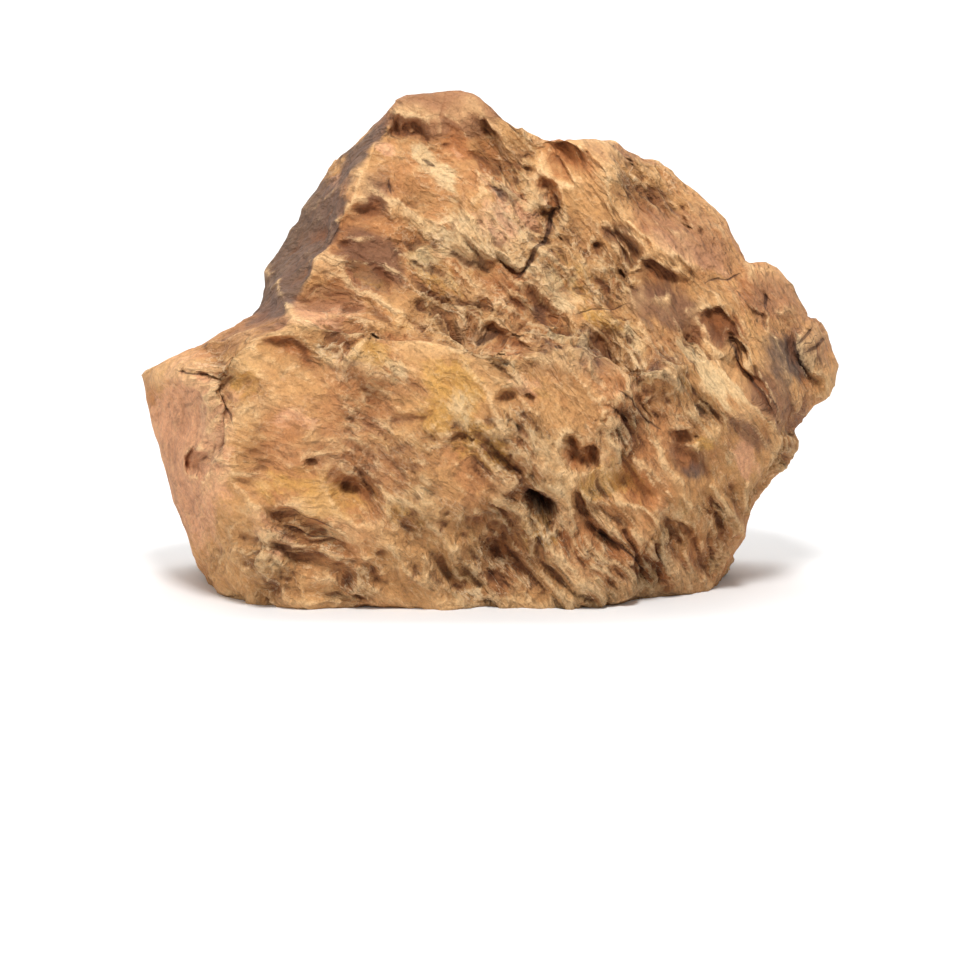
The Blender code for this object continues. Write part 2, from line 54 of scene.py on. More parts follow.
# The lens, in metres, and the lamps: size, power, place and target
LENS_AIM, LENS_DISTANCE = (0.00225, 0, 0.044), 1.0306
LAMPS = {
    "key": (0.3, 14, (0.05, -0.75, 1.1), (0, 0, 0.1)),
    "fill": (0.9, 4, (-0.9, -1.0, 0.3), (0, 0, 0.1)),
    "backdrop": (2.0, 60, (0, 0.9, 2.4), (0, 2.4, 0.8)),
}

# Mesh: steps round the stone and from foot to crown, and how much wider they are behind and under it
STEPS_AROUND, STEPS_UP = 420, 236
STEP = 1.2
BACK_WIDENING, FOOT_WIDENING = 3.0, 5.0

# The heart is the point that every distance below is measured from
HEART = np.array([0.0, 0.0, 100.0])

# Outline of the show face, (across, up), clockwise from the left tip
OUTLINE = np.array([
    (-156, 104), (-153, 108), (-142, 112), (-135, 115), (-130, 119), (-119, 124), (-103, 130),
    (-98, 137), (-96, 144), (-98, 151), (-94, 157), (-83, 174), (-82, 180), (-74, 188), (-70, 197),
    (-63, 204), (-52, 214), (-45, 223), (-40, 230), (-34, 233), (-22, 233), (-13, 234), (-3, 232),
    (2, 227), (11, 223), (20, 216), (29, 210), (34, 208), (39, 211), (50, 212), (59, 210), (76, 202),
    (81, 203), (91, 197), (104, 184), (112, 173), (115, 164), (119, 154), (129, 154), (134, 152),
    (140, 144), (144, 134), (147, 129), (153, 128), (157, 123), (159, 115), (163, 108), (159, 101),
    (155, 95), (149, 92), (144, 85), (137, 77), (141, 74), (139, 69), (133, 61), (130, 55), (119, 31),
    (112, 17), (107, 8), (100, -12), (-110, -16), (-126, 15), (-130, 22), (-134, 34), (-140, 45),
    (-143, 56), (-144, 65), (-145, 72), (-149, 81), (-152, 92), (-154, 99)], float)
SWELL_DEPTH = 128.0

# Broken faces: the way each one looks, and how far it lies from the heart
UPPER_FACES = {
    "brow": ((0.04, -0.94, 0.33), 60),
    "left_side": ((-0.754, -0.386, 0.531), 104.4),
    "right_plate": ((0.40, -0.78, 0.48), 88),
    "right_end": ((0.80, -0.58, 0.10), 135),
    "right_under": ((0.55, -0.70, -0.46), 112),
    "belly": ((0.05, -0.985, -0.10), 68),
    "back": ((0.10, 0.97, 0.20), 66),
    "back_left": ((-0.62, 0.75, 0.20), 96),
    "back_right": ((0.66, 0.72, 0.20), 115),
    "back_top": ((-0.15, 0.62, 0.77), 120),
}
LOWER_FACES = {
    "front": ((-0.05, -0.995, 0.03), 77),
    "front_under": ((0.10, -0.88, -0.46), 92),
    "shelf": ((0.12, -0.43, 0.895), 47),
    "left_facet": ((-0.86, -0.42, -0.25), 139),
    "left_top": ((-0.28, 0.30, 0.91), 60),
    "left_back": ((-0.70, 0.68, 0.20), 116),
    "right_under": ((0.62, -0.66, -0.42), 96),
    "rear": ((0.05, 0.98, 0.15), 62),
    "rear_under": ((0.05, 0.88, -0.42), 84),
}
EDGE_SHARPNESS = 55
JOIN_SHARPNESS = 36

# Soft hollows of the show face: across, up, length, width, turn in degrees, depth, steepness of the wall
HOLLOWS = {
    "saddle": (36, 201, 30, 17, -38, 6.3, 0.1),
    "saddle_dish": (40, 201, 18, 13, -30, 2.8, 0.4),
    "saddle_throat": (31, 187, 18, 9, -65, 4.9, 0.2),
    "hump_side": (4, 207, 32, 16, -58, 3.5, 0.2),
    "orange_dish": (-10, 208, 24, 13, -50, 2.8, 0.2),
    "rust_pocket": (4, 215, 9, 6, -35, 3.5, 0.4),
    "side_pocket": (23, 198, 7, 5, -40, 2.8, 0.4),
    "brown_slope": (2, 152, 40, 20, -25, 4.2, 0.3),
    "brown_slope_foot": (14, 136, 34, 14, -20, 3.5, 0.2),
    "trough_foot": (-44, 145, 22, 11, -55, 1.6, 0.2),
    "plum_flat": (-45, 160, 24, 14, -20, 2.1, 0.3),
    "plum_hollow": (-48, 176, 20, 12, -50, 2.8, 0.2),
    "ochre_gully": (-55, 149, 22, 7, -38, 2.8, 0.3),
    "knob_dish": (13, 185, 16, 9, -20, 1.4, 0.3),
    "small_bowl": (37, 167, 8, 6, -50, 2.8, 0.3),
    "dot_bowl": (52, 160, 8, 7, 60, 3.5, 0.3),
    "great_hollow_tail": (92, 142, 24, 13, -30, 3.5, 0.2),
    "side_hole": (64, 147, 10, 5, -78, 2.2, 0.3),
    "rough_bay": (78, 181, 40, 22, -28, 4.2, 0.2),
    "shell_mark": (92, 180, 6, 5, 0, 2.1, 0.3),
    "high_hole": (69, 201, 6, 4, -30, 1.6, 0.3),
    "high_hole_low": (73, 195, 5, 4, -30, 2.1, 0.3),
    "flank_hole": (94, 172, 5, 4, 0, 2.8, 0.3),
    "flank_hole_right": (100, 170, 4, 4, 0, 2.1, 0.3),
    "cave_right": (32, 117, 13, 8, -58, 4.2, 0.3),
    "cave_tail": (115, 112, 18, 7, -76, 5.6, 0.3),
    "end_gap": (122, 99, 44, 8, -54, 6.3, 0.2),
    "knob_under": (124, 129, 14, 5, -60, 3.5, 0.3),
    "heart_bowl": (45, 68, 26, 21, -80, 3.5, 0.2),
    "brown_hollow": (47, 41, 20, 10, -68, 5.6, 0.3),
    "ochre_basin": (69, 54, 26, 15, -48, 4.2, 0.3),
    "plum_bay": (94, 66, 34, 17, -62, 4.2, 0.2),
    "plum_bay_top": (93, 77, 16, 6, -8, 4.2, 0.5),
    "olive_bay": (54, 112, 38, 24, -48, 3.5, 0.2),
    "olive_bay_foot": (57, 86, 16, 8, -15, 2.8, 0.2),
    "eye_left": (54, 83, 5, 3, 0, 2.8, 0.3),
    "eye_right": (62, 85, 5, 4, 20, 2.8, 0.3),
    "front_dimple": (12, 95, 9, 8, 0, 3.5, 0.4),
    "front_dimple_right": (22, 93, 6, 5, 0, 2.8, 0.4),
    "front_pit": (14, 67, 6, 5, 0, 2.8, 0.3),
    "front_pit_left": (-9, 73, 10, 6, -20, 2.8, 0.3),
    "left_basin": (-56, 50, 28, 18, -52, 5.6, 0.3),
    "left_gutter": (-82, 37, 34, 8, -14, 4.2, 0.3),
    "left_gutter_low": (-78, 30, 30, 6, -16, 3.5, 0.3),
    "left_pit": (-76, 62, 8, 5, 0, 3.5, 0.4),
    "shelf_pit": (-50, 122, 6, 5, -20, 3.5, 0.4),
    "olive_nook": (-108, 98, 24, 20, -40, 3.5, 0.3),
    "star_pit": (-129, 104, 8, 7, 0, 2.8, 0.2),
    "shelf_gully": (-85, 114, 36, 13, -28, 4.2, 0.2),
    "foot_hollow": (12, 20, 24, 13, -40, 4.9, 0.3),
    "low_gully": (58, 28, 46, 9, -28, 4.2, 0.2),
    "low_gully_right": (92, 30, 36, 10, -50, 4.2, 0.2),
    "low_gully_end": (108, 38, 26, 7, -58, 3.5, 0.2),
    "low_gully_left": (36, 12, 26, 8, -40, 3.5, 0.2),
}
LIP = 0.06
HOLLOW_LEAN = 0.3

# Sharp-edged hollows of the show face: outline, depth, width of the wall
CAVES = {
    "heart": (((38, 80), (35, 72), (38, 63), (46, 57), (53, 62), (55, 71), (52, 77), (46, 73), (43, 79)),
               7.2, 4),
    "black_hole": (((20, 46), (25, 51), (31, 49), (36, 40), (33, 35), (25, 41)), 20, 5),
    "great_hollow": (((69, 150), (73, 157), (81, 158), (88, 153), (91, 146), (86, 140), (78, 139),
                      (71, 143)), 7.8, 7),
    "under_ridge": (((54, 174), (60, 174), (67, 167), (76, 159), (74, 155), (66, 158), (58, 165)), 5.2, 5),
    "ledge_cave": (((-1, 127), (8, 127), (15, 124), (23, 122), (27, 114), (18, 111), (10, 115), (3, 120)),
                    6.6, 5),
    "right_cave": (((98, 131), (106, 132), (113, 127), (118, 119), (117, 112), (112, 114), (106, 119),
                    (100, 125)), 5.2, 4),
    "crack_mouth": (((28, 180), (33, 184), (37, 181), (35, 174), (31, 170), (29, 174)), 7.2, 3.5),
    "triangle": (((-4, 206), (4, 205), (12, 202), (15, 195), (9, 194), (2, 197), (-4, 199)), 3.0, 3),
    "hump_lip_left": (((-44, 219), (-38, 220), (-37, 215), (-42, 213)), 2.2, 2.5),
    "hump_lip_right": (((-36, 220), (-30, 219), (-23, 213), (-23, 209), (-31, 212), (-36, 214)), 2.9, 3),
    "dark_trough": (((-68, 165), (-60, 166), (-48, 155), (-38, 143), (-43, 137), (-52, 148), (-64, 158)),
                     2.2, 6),
    "facet_pit": (((-136, 67), (-130, 74), (-126, 67), (-124, 58), (-131, 57), (-135, 61)), 5.9, 3.5),
    "square_hollow": (((-41, 88), (-31, 89), (-20, 93), (-19, 84), (-27, 79), (-40, 80)), 2.8, 6),
    "star_crack": (((-127, 103), (-121, 101), (-115, 90), (-112, 83), (-117, 86), (-123, 95)), 5.2, 3),
    "basin_slit": (((-63, 55), (-60, 56), (-54, 48), (-55, 45), (-60, 49)), 3.9, 2.5),
}

# Crests of the show face: their line, height, and how wide they fall off above and below it
CRESTS = {
    "main_ridge": (((46, 207), (54, 199), (60, 184), (66, 172), (77, 163), (92, 154), (104, 147)), 8, 18, 4),
    "knob_edge": (((-3, 200), (10, 194), (21, 192), (27, 186), (31, 176)), 6, 3, 16),
    "knob_foot": (((-14, 171), (-3, 166), (8, 161), (18, 153)), 5, 14, 3),
    "flank_ridge": (((-76, 166), (-66, 155), (-55, 145), (-42, 136), (-28, 128)), 6, 4, 8),
    "hump_rim": (((-46, 220), (-38, 221), (-28, 220), (-20, 213), (-14, 214)), 2, 8, 2.5),
    "side_ridge": (((-92, 140), (-76, 153), (-74, 166), (-62, 178), (-50, 199), (-42, 220)), 4, 4, 8),
    "shelf_rim": (((-16, 125), (-4, 124), (4, 119), (12, 113), (17, 106), (22, 94)), 7, 2.5, 10),
    "cream_crest": (((62, 121), (72, 113), (84, 105), (96, 100), (107, 94)), 5, 7, 4),
    "band_edge": (((98, 120), (111, 115), (116, 106), (124, 94), (130, 82)), 6, 2.5, 16),
    "knife": (((62, 99), (70, 93), (78, 87), (84, 80)), 4, 2.5, 6),
    "heart_rim": (((57, 66), (53, 60), (46, 55), (38, 60), (33, 74)), 3, 3, 3),
    "heart_blade": (((44, 76), (46, 68), (50, 60)), 3, 2, 2),
    "wavy_crest": (((44, 49), (52, 44), (61, 43), (68, 46), (76, 41), (86, 33)), 5, 5, 3),
    "hole_flake": (((30, 58), (36, 51), (42, 43), (44, 32)), 6, 5, 3),
    "facet_ridge": (((-128, 106), (-125, 92), (-122, 78), (-118, 64), (-106, 49), (-97, 34)), 4, 6, 8),
    "left_knob": (((-112, 88), (-104, 86), (-96, 80)), 3, 3, 6),
    "middle_diagonal": (((30, 126), (36, 114), (45, 100), (54, 84), (62, 72), (76, 60), (92, 44)), 4, 5, 3),
    "left_diagonal": (((0, 84), (10, 76), (22, 66), (34, 55)), 4, 5, 3),
    "far_left_diagonal": (((-10, 112), (0, 98), (8, 84), (18, 74)), 3, 5, 3),
    "right_diagonal": (((74, 82), (80, 70), (88, 60), (96, 46), (104, 30)), 5, 6, 3),
    "end_diagonal": (((104, 56), (110, 43), (118, 30)), 4, 6, 3),
    "end_knob": (((118, 152), (128, 147), (136, 138), (142, 128)), 4, 8, 8),
    "low_crest": (((20, 40), (30, 28), (40, 14), (46, 4)), 4, 5, 3),
    "low_crest_right": (((60, 40), (72, 30), (84, 18), (92, 8)), 4, 5, 3),
}

# Ledges of the show face: their line, rise, and how wide it fades above and below; below comes forward
LEDGES = {
    "left_shelf": (((-110, 132), (-92, 136), (-72, 137), (-52, 134), (-34, 128)), 4, 10, 10),
    "end_block": (((112, 118), (116, 106), (124, 94), (133, 80)), 7, 24, 10),
    "tip_block": (((157, 99), (150, 104), (146, 112), (144, 120), (148, 129)), 6, 8, 10),
    "upper_step": (((-62, 178), (-48, 166), (-30, 158), (-8, 148)), 4, 10, 14),
}
LEDGE_EDGE = 1.5

# How many times deeper all of these are worn
RELIEF = 1.25

# Cracks of the show face: their line, half width and depth of the groove
CRACKS = {
    "main_crack": (((34, 179), (32, 174), (29, 166), (25, 159), (22, 153), (19, 149), (15, 146)), 1.0, 3),
    "thin_crack": (((42, 131), (47, 132.5), (55, 134), (60, 136), (67, 137)), 0.27, 1.0),
    "flank_crack": (((102, 144.5), (107, 146.5), (112, 147), (117.5, 149.5)), 0.4, 1.4),
    "knob_slit": (((130, 142), (129, 138), (127.5, 133)), 0.8, 2.4),
    "tip_crack": (((149.5, 125), (147, 121.5), (144.5, 118)), 0.7, 2.4),
    "tip_crack_right": (((155.5, 120), (152, 116.5), (148.5, 113.5)), 0.8, 2.4),
    "cream_slit": (((-25, 202), (-22, 200), (-19, 199.5)), 0.54, 1.0),
    "plum_slit": (((-41, 191), (-41.5, 188), (-40.5, 184)), 0.54, 1.4),
    "shelf_slot": (((-2, 126), (3, 125.5), (8, 123.5)), 0.66, 1.8),
    "knife_slot": (((62, 97), (68, 92), (76, 84), (81, 79)), 0.48, 1.8),
    "gap_slot": (((112, 118), (116, 108), (121, 101), (126, 95), (131, 87)), 0.48, 1.8),
    "star_slot": (((-126, 104), (-121, 98), (-117, 90), (-112, 82)), 0.66, 1.8),
    "star_ray": (((-136, 106), (-130, 104), (-124, 103)), 0.42, 1.0),
    "gutter_line": (((-92, 43), (-80, 40), (-66, 35)), 0.42, 1.4),
    "gutter_line_low": (((-90, 35), (-76, 31), (-62, 27)), 0.42, 1.4),
    "low_line_middle": (((48, 36), (58, 28), (70, 20), (78, 10)), 0.42, 1.4),
}
CRACK_SPREAD = 1.5
CRACK_REACH = 5.0

# Scoops worn into the other sides: across, depth, up, radius, how deep
SCOOPS = {
    "back_high_left": (-34, 62, 186, 26, 9),
    "back_high_right": (42, 66, 184, 30, 10),
    "back_shoulder": (92, 62, 150, 28, 9),
    "back_middle": (4, 78, 132, 32, 11),
    "back_middle_left": (-66, 74, 124, 26, 9),
    "back_left": (-112, 56, 92, 24, 9),
    "back_right": (118, 56, 96, 24, 9),
    "back_low": (44, 72, 66, 32, 11),
    "back_low_left": (-38, 72, 62, 28, 10),
    "back_foot_left": (-88, 58, 34, 24, 8),
    "back_foot_right": (88, 50, 34, 22, 8),
    "left_end": (-152, 8, 86, 18, 6),
    "left_foot": (-132, 8, 34, 18, 6),
    "right_end": (152, 12, 100, 16, 6),
    "right_foot": (122, 8, 44, 18, 7),
    "crown": (8, 20, 224, 16, 6),
    "crown_right": (70, 26, 204, 20, 7),
    "left_shoulder": (-88, 22, 160, 20, 7),
}

# Patches of the show face worn smooth: across, up, length, width, turn, how much quieter
CALM = {
    "upper_middle": (-15, 165, 80, 70, -30, 0.15),
    "left_plain": (-72, 74, 100, 70, -20, 0.3),
    "hump": (-20, 226, 50, 20, 0, 0.8),
    "orange_dish": (-9, 208, 24, 14, -50, 0.4),
    "knob": (12, 178, 34, 26, -30, 0.2),
    "saddle": (38, 200, 28, 20, -30, 0.6),
    "brown_slope": (0, 150, 40, 20, -25, 0.5),
    "plate": (88, 163, 50, 18, -28, 0.7),
    "plum": (84, 134, 36, 20, -20, 0.5),
    "band": (112, 98, 48, 20, -48, 0.9),
    "end_plane": (134, 98, 46, 30, -48, 0.7),
    "great_hollow": (80, 148, 24, 18, -30, 0.95),
    "right_cave": (108, 122, 22, 15, -30, 0.9),
    "heart": (45, 68, 18, 16, 0, 0.6),
    "ledge_cave": (14, 118, 28, 15, -24, 0.5),
    "tan_patch": (122, 66, 24, 14, -70, 0.6),
    "left_facet": (-146, 76, 40, 84, -10, 0.85),
    "left_facet_low": (-130, 40, 40, 60, -20, 0.8),
    "shelf": (-80, 138, 50, 20, 0, 0.5),
    "flank": (-62, 146, 50, 12, -38, 0.3),
    "plum_bay": (94, 66, 30, 16, -60, 0.5),
    "basin": (69, 54, 26, 16, -48, 0.6),
    "side_strip": (-80, 165, 90, 30, 58, 0.4),
    "right_foot": (128, 36, 50, 30, 62, 0.5),
}

# Stains of the show face: across, up, length, width, turn, strength
STAINS = {
    "slate": ((-94, 148, 44, 28, 58, 1.6), (-78, 172, 52, 24, 58, 1.5), (-56, 204, 44, 14, 60, 1.1),
              (140, 112, 30, 22, -30, 1.2), (28, 133, 14, 6, -80, 1.1), (13, 187, 15, 10, -10, 0.8),
              (98, 58, 12, 8, -50, 0.85), (80, 151, 22, 9, -30, 0.6)),
    "plum": ((-48, 183, 32, 16, 80, 0.9), (-50, 156, 38, 22, -42, 1.25), (84, 134, 36, 18, -20, 1.2),
             (133, 94, 35, 25, -48, 1.0), (121, 77, 30, 9, -46, 0.8), (95, 66, 32, 20, -62, 0.7),
             (50, 112, 30, 20, -48, 0.7), (-58, 108, 9, 6, 0, 0.9), (66, 166, 28, 9, -44, 0.7),
             (78, 183, 36, 18, -28, 0.5), (30, 110, 14, 22, -20, 0.5), (84, 108, 20, 16, -40, 0.6),
             (-31, 85, 18, 8, 0, 0.6), (148, 132, 14, 18, -20, 0.4)),
    "rust": ((36, 203, 32, 16, -38, 0.85), (6, 199, 18, 14, -50, 0.4), (15, 118, 28, 14, -24, 0.6),
             (108, 124, 20, 14, -15, 0.9), (8, 145, 48, 20, -28, 0.6), (-60, 149, 50, 10, -40, 0.8),
             (-86, 116, 32, 9, -28, 0.8), (-36, 124, 30, 9, -10, 0.6), (60, 20, 110, 36, -20, 0.6),
             (-10, 209, 24, 14, -50, 0.7), (131, 140, 24, 22, -30, 1.1), (45, 67, 20, 17, 0, 0.8),
             (69, 54, 22, 14, -48, 0.3), (-130, 62, 14, 14, 0, 0.5), (-118, 94, 24, 9, -64, 0.8),
             (62, 152, 20, 30, -60, 0.4), (-80, 33, 36, 14, -15, 0.5), (30, 188, 12, 20, 10, 0.8)),
    # Umber is painted shade in the caves and hollows; it also darkens the hump's top and the left facet
    "umber_painted_shade": ((108, 123, 26, 16, -30, 0.9), (80, 148, 26, 20, -30, 0.8), (66, 161, 46, 11, -42, 0.7),
              (28, 45, 18, 12, -50, 1.0), (15, 118, 22, 9, -24, 0.3), (45, 68, 16, 13, 0, 0.2),
              (-46, 150, 30, 12, -45, 0.5), (-20, 230, 72, 34, 0, 0.38), (-134, 60, 40, 100, -8, 0.36)),
    "ochre": ((-14, 92, 30, 40, -30, 0.9), (-50, 114, 24, 14, 0, 0.8), (53, 52, 16, 20, 0, 0.8),
              (69, 54, 24, 14, -48, 0.5), (-72, 50, 70, 26, -15, 0.6), (-20, 152, 46, 26, -30, 0.5),
              (-52, 148, 22, 6, -40, 0.9), (102, 72, 11, 10, 0, 1.0), (56, 128, 30, 14, -30, 0.6),
              (42, 150, 30, 20, -60, 0.6), (-108, 100, 22, 20, -40, 0.7), (0, 72, 40, 24, -40, 0.7),
              (28, 30, 26, 20, -40, 0.6)),
    "cream": ((-12, 168, 44, 34, -40, 0.6), (14, 172, 28, 18, -30, 0.9), (-25, 203, 18, 11, -30, 0.75),
              (-17, 195, 22, 10, -62, 0.8), (-10, 88, 16, 26, -20, 0.45), (108, 103, 46, 11, -50, 0.9),
              (45, 115, 9, 6, -60, 1.1), (68, 121, 15, 6, -50, 1.1), (32, 123, 11, 7, -40, 0.9),
              (10, 159, 36, 5, -32, 1.1), (-24, 160, 20, 20, -30, 0.5), (38, 142, 26, 14, -60, 0.6),
              (80, 105, 34, 7, -32, 0.9), (-124, 78, 6, 40, 0, 0.8), (-38, 106, 14, 16, 0, 0.6),
              (36, 51, 8, 16, 30, 0.7), (86, 40, 22, 14, -50, 0.5)),
    # Tan is partly painted shade: on the hump's top it darkens the face turned up to the key lamp
    "tan": ((-60, 70, 160, 100, -15, 0.42), (-20, 230, 72, 34, 0, 2.0), (-134, 66, 40, 90, -8, 0.45),
            (92, 166, 60, 22, -30, 0.9), (134, 138, 36, 36, 0, 0.8), (150, 118, 24, 26, 0, 0.8),
            (-100, 128, 60, 14, 20, 0.8), (-70, 140, 60, 14, 10, 0.7), (105, 168, 50, 20, -50, 0.6),
            (60, 206, 40, 14, -10, 0.7)),
    "rose": ((-134, 66, 44, 90, -8, 1.1), (14, 178, 32, 24, -35, 0.9), (-80, 133, 48, 13, 4, 1.0),
             (-43, 206, 11, 9, 0, 1.0), (-120, 62, 16, 50, 12, 0.7), (122, 66, 24, 12, -70, 0.8),
             (91, 161, 36, 10, -26, 1.0), (-22, 225, 36, 13, 0, 0.5), (-67, 190, 13, 9, 60, 1.0),
             (110, 155, 20, 14, -40, 0.7), (-84, 84, 26, 12, -12, 0.6), (20, 100, 16, 12, -30, 0.5),
             (-96, 30, 30, 30, 0, 0.5)),
}

# Broken layers of the clay: size along, into and across the bedding, height, seed, how hollow each cell is,
# how sharp the step between cells is (None where the deepest scoop shows instead), and its part in the tone
BROKEN_LAYERS = {
    "chips": ((44, 36, 26), 7.0, 21, 1.4, None, 0.3),
    "scallops": ((30, 18, 9), 3.4, 22, 0.5, 26, 0.4),
    "flakes": ((13, 9, 5), 2.2, 23, 0.5, 16, 0.4),
    "splits": ((15, 13, 10), 4.6, 24, 0.5, None, 0.5),
    "crumbs": ((6.5, 5, 4), 1.3, 25, 0.5, 16, 0.3),
}
SCOOP_EDGE = 36

# Softer texture: size and height
LUMP_SIZE, LUMP_HEIGHT = 45.0, 3.0
FOLD_SIZE, FOLD_HEIGHT = (34, 24, 16), 1.4
BLADE_SIZE, BLADE_HEIGHT = (38, 16, 6.5), 1.4
QUIET_SIZE = 36.0

# The bedding's dip, how much steeper it gets to the right, its scale, and how far noise of a size bends it
DIP, STEEPENING, BEDDING_SCALE = 0.95, 0.003, 0.72
BEDDING_WARP, BEDDING_SIZE, BEDDING_RIPPLE_SIZE = 5.0, 34.0, 9.0
BLADE_WARP, BLADE_WARP_SIZE = 0.8, 6.0

# How far noise and broken cells push the edges of what is placed on the show face, and how big that noise is
EDGE_SHIFT, EDGE_SIZE = 3.0, 17.0
FINE_SHIFT, FINE_SIZE = 1.4, 6.5
BREAK_SHIFT = 2.2
CRACK_SHIFT = 0.7

# Overhang of a hollow's upper edge, as a part of its depth
UNDERCUT = 0.25

# How far a ring of the foot stays short of the next one out, as a share of the way
FOOT_GAP = 0.0005

# A spur that stands out from the stone around it by more than the limit is rubbed back to near it
SPUR_LIMIT, SPUR_WEAR, SPUR_REACH = 1.7, 0.9, 2

# Reach in steps of the fine and the wide hollows that the material sees, where it paints shade in the hollows
# and highlights on the crests
FINE_REACH, WIDE_REACH = 1, 5

# Clouded stains on the sides away from the show face: size and strength
CLOUD_SIZE, CLOUD_STRENGTH = 34.0, 0.6

# Colours of the clay and of the light, shade and highlights painted on it, as a screen shows them: red, green
# and blue up to 255
CLAY = {
    "sand": (194, 146, 92), "earth": (184, 128, 78), "rust": (166, 100, 50), "ochre": (204, 156, 78),
    "cream": (226, 202, 156), "rose": (222, 166, 128), "lit": (236, 196, 140), "facet_painted_shade": (112, 62, 24),
    "pale": (244, 212, 164), "crest_line_highlight": (246, 218, 176), "tan": (154, 108, 74), "umber_painted_shade": (104, 60, 30),
    "plum": (112, 74, 54), "slate": (90, 72, 64), "wide_hollow_shade": (150, 88, 38), "fine_hollow_shade": (98, 54, 24),
    "wide_crest_highlight": (230, 190, 136), "fine_crest_highlight": (240, 206, 156), "bed_valley_shade": (118, 68, 28),
    "crack": (76, 46, 28),
}
# Stains laid under the painted light, shade and crest highlights and stains laid over them, and the most that
# each covers
UNDER_STAINS = {"rust": 0.7, "ochre": 0.8, "cream": 0.75, "rose": 0.75}
OVER_STAINS = {"tan": 0.85, "umber_painted_shade": 0.8, "plum": 0.8, "slate": 0.85}
STAIN_SPACING = 300


def smooth(value, low, high):
    """A soft step from 0 at low to 1 at high."""
    t = np.clip((value - low) / (high - low), 0, 1)
    return t * t * (3 - 2 * t)


def even_turn(half_wide, half_deep, start, end, widening, count):
    """Cosine and sine of points along a rounded rectangle, in even steps made wider by a function of them."""
    turn = np.linspace(start, end, 4001)
    cosine = np.sign(np.cos(turn)) * np.abs(np.cos(turn)) ** 0.4
    sine = np.sign(np.sin(turn)) * np.abs(np.sin(turn)) ** 0.4
    middle = 0.5 * (sine[1:] + sine[:-1])
    step = np.hypot(np.diff(cosine) * half_wide, np.diff(sine) * half_deep) / widening(middle)
    length = np.concatenate([[0], np.cumsum(step)])
    at = (np.arange(count) + 0.5) / count * length[-1]
    return np.interp(at, length, cosine), np.interp(at, length, sine)


def stone_directions(around, up):
    """Directions from the heart to a grid that wraps a rounded box, tapered upwards as the stone is."""
    half_wide, half_deep, half_high = 150, 74, 118
    wide, deep = even_turn(half_wide, half_deep, -1.5 * np.pi, 0.5 * np.pi,
                           lambda sine: np.where(sine > 0.3, BACK_WIDENING, 1), around)
    spread, rise = even_turn(half_deep, half_high, -0.5 * np.pi, 0.5 * np.pi,
                             lambda sine: np.where(sine < -0.95, FOOT_WIDENING, 1), up)
    spread, rise = spread[:, None], rise[:, None]
    narrow = 1 - 0.60 * smooth(rise, -0.1, 1.0)
    thin = 1 - 0.62 * smooth(rise, 0.1, 1.0)
    lean = 14 * smooth(rise, 0, 0.6) - 26 * smooth(rise, 0.5, 1.0)
    box = np.stack([half_wide * narrow * wide * spread + lean, half_deep * thin * deep * spread,
                    half_high * rise + 0 * wide], -1)
    return box / np.linalg.norm(box, axis=-1, keepdims=True)


def outline_reach(angle):
    """How far the outline lies from the heart at an angle: where that ray crosses an edge."""
    corners = OUTLINE - HEART[[0, 2]]
    angles = np.arctan2(corners[:, 1], corners[:, 0])
    order = np.argsort(angles)
    corners, angles = corners[order], angles[order]
    first = np.searchsorted(angles, (angle + np.pi) % (2 * np.pi) - np.pi, side="right") - 1
    start, end = corners[first], corners[(first + 1) % len(corners)]
    edge = end - start
    crossing = np.cos(angle) * edge[..., 1] - np.sin(angle) * edge[..., 0]
    return (start[..., 0] * edge[..., 1] - start[..., 1] * edge[..., 0]) / crossing


def faces_reach(direction, faces):
    """How far a block of flat broken faces reaches: to the nearest face, its edges a little rounded."""
    total = np.zeros(direction.shape[:-1])
    for look, distance in faces.values():
        look = np.array(look) / np.linalg.norm(look)
        total += np.clip(direction @ look / distance, 1e-3, None) ** EDGE_SHARPNESS
    return total ** (-1 / EDGE_SHARPNESS)


def block(direction):
    """Two broken blocks grown into one, held inside the outline, which swells to mid depth."""
    across, depth, up = np.moveaxis(direction, -1, 0)
    angle = np.arctan2(up, across)
    worn = sum(share * outline_reach(angle + turn) for share, turn in
               ((1, -0.12), (4, -0.06), (6, 0), (4, 0.06), (1, 0.12))) / 16
    rim = np.exp(-(depth / 0.15) ** 2)
    reach = worn + (outline_reach(angle) - worn) * rim
    hull = np.hypot(np.hypot(across, up) / reach, depth / SWELL_DEPTH)
    upper, lower = faces_reach(direction, UPPER_FACES), faces_reach(direction, LOWER_FACES)
    joined = (upper ** JOIN_SHARPNESS + lower ** JOIN_SHARPNESS) ** (1 / JOIN_SHARPNESS)
    radius = (joined ** -EDGE_SHARPNESS + hull ** EDGE_SHARPNESS) ** (-1 / EDGE_SHARPNESS)
    return direction * radius[..., None] + HEART


def outward(points):
    """Outward directions of the wrapped grid, square to its neighbours round and up."""
    round_it = np.roll(points, -1, 1) - np.roll(points, 1, 1)
    out = np.cross(round_it, np.gradient(points, axis=0))
    return out / np.maximum(np.linalg.norm(out, axis=-1, keepdims=True), 1e-9)


def step_length(points):
    """Side of the square as large as the patch of grid round each point."""
    patch = np.cross(0.5 * (np.roll(points, -1, 1) - np.roll(points, 1, 1)), np.gradient(points, axis=0))
    return np.sqrt(np.linalg.norm(patch, axis=-1))


def ellipse(across, up, x, z, length, width, turn):
    """Distance from the middle of a turned ellipse, 1 on its edge."""
    cosine, sine = math.cos(math.radians(turn)), math.sin(math.radians(turn))
    along = (across - x) * cosine + (up - z) * sine
    aside = (up - z) * cosine - (across - x) * sine
    return np.hypot(along * 2 / length, aside * 2 / width)


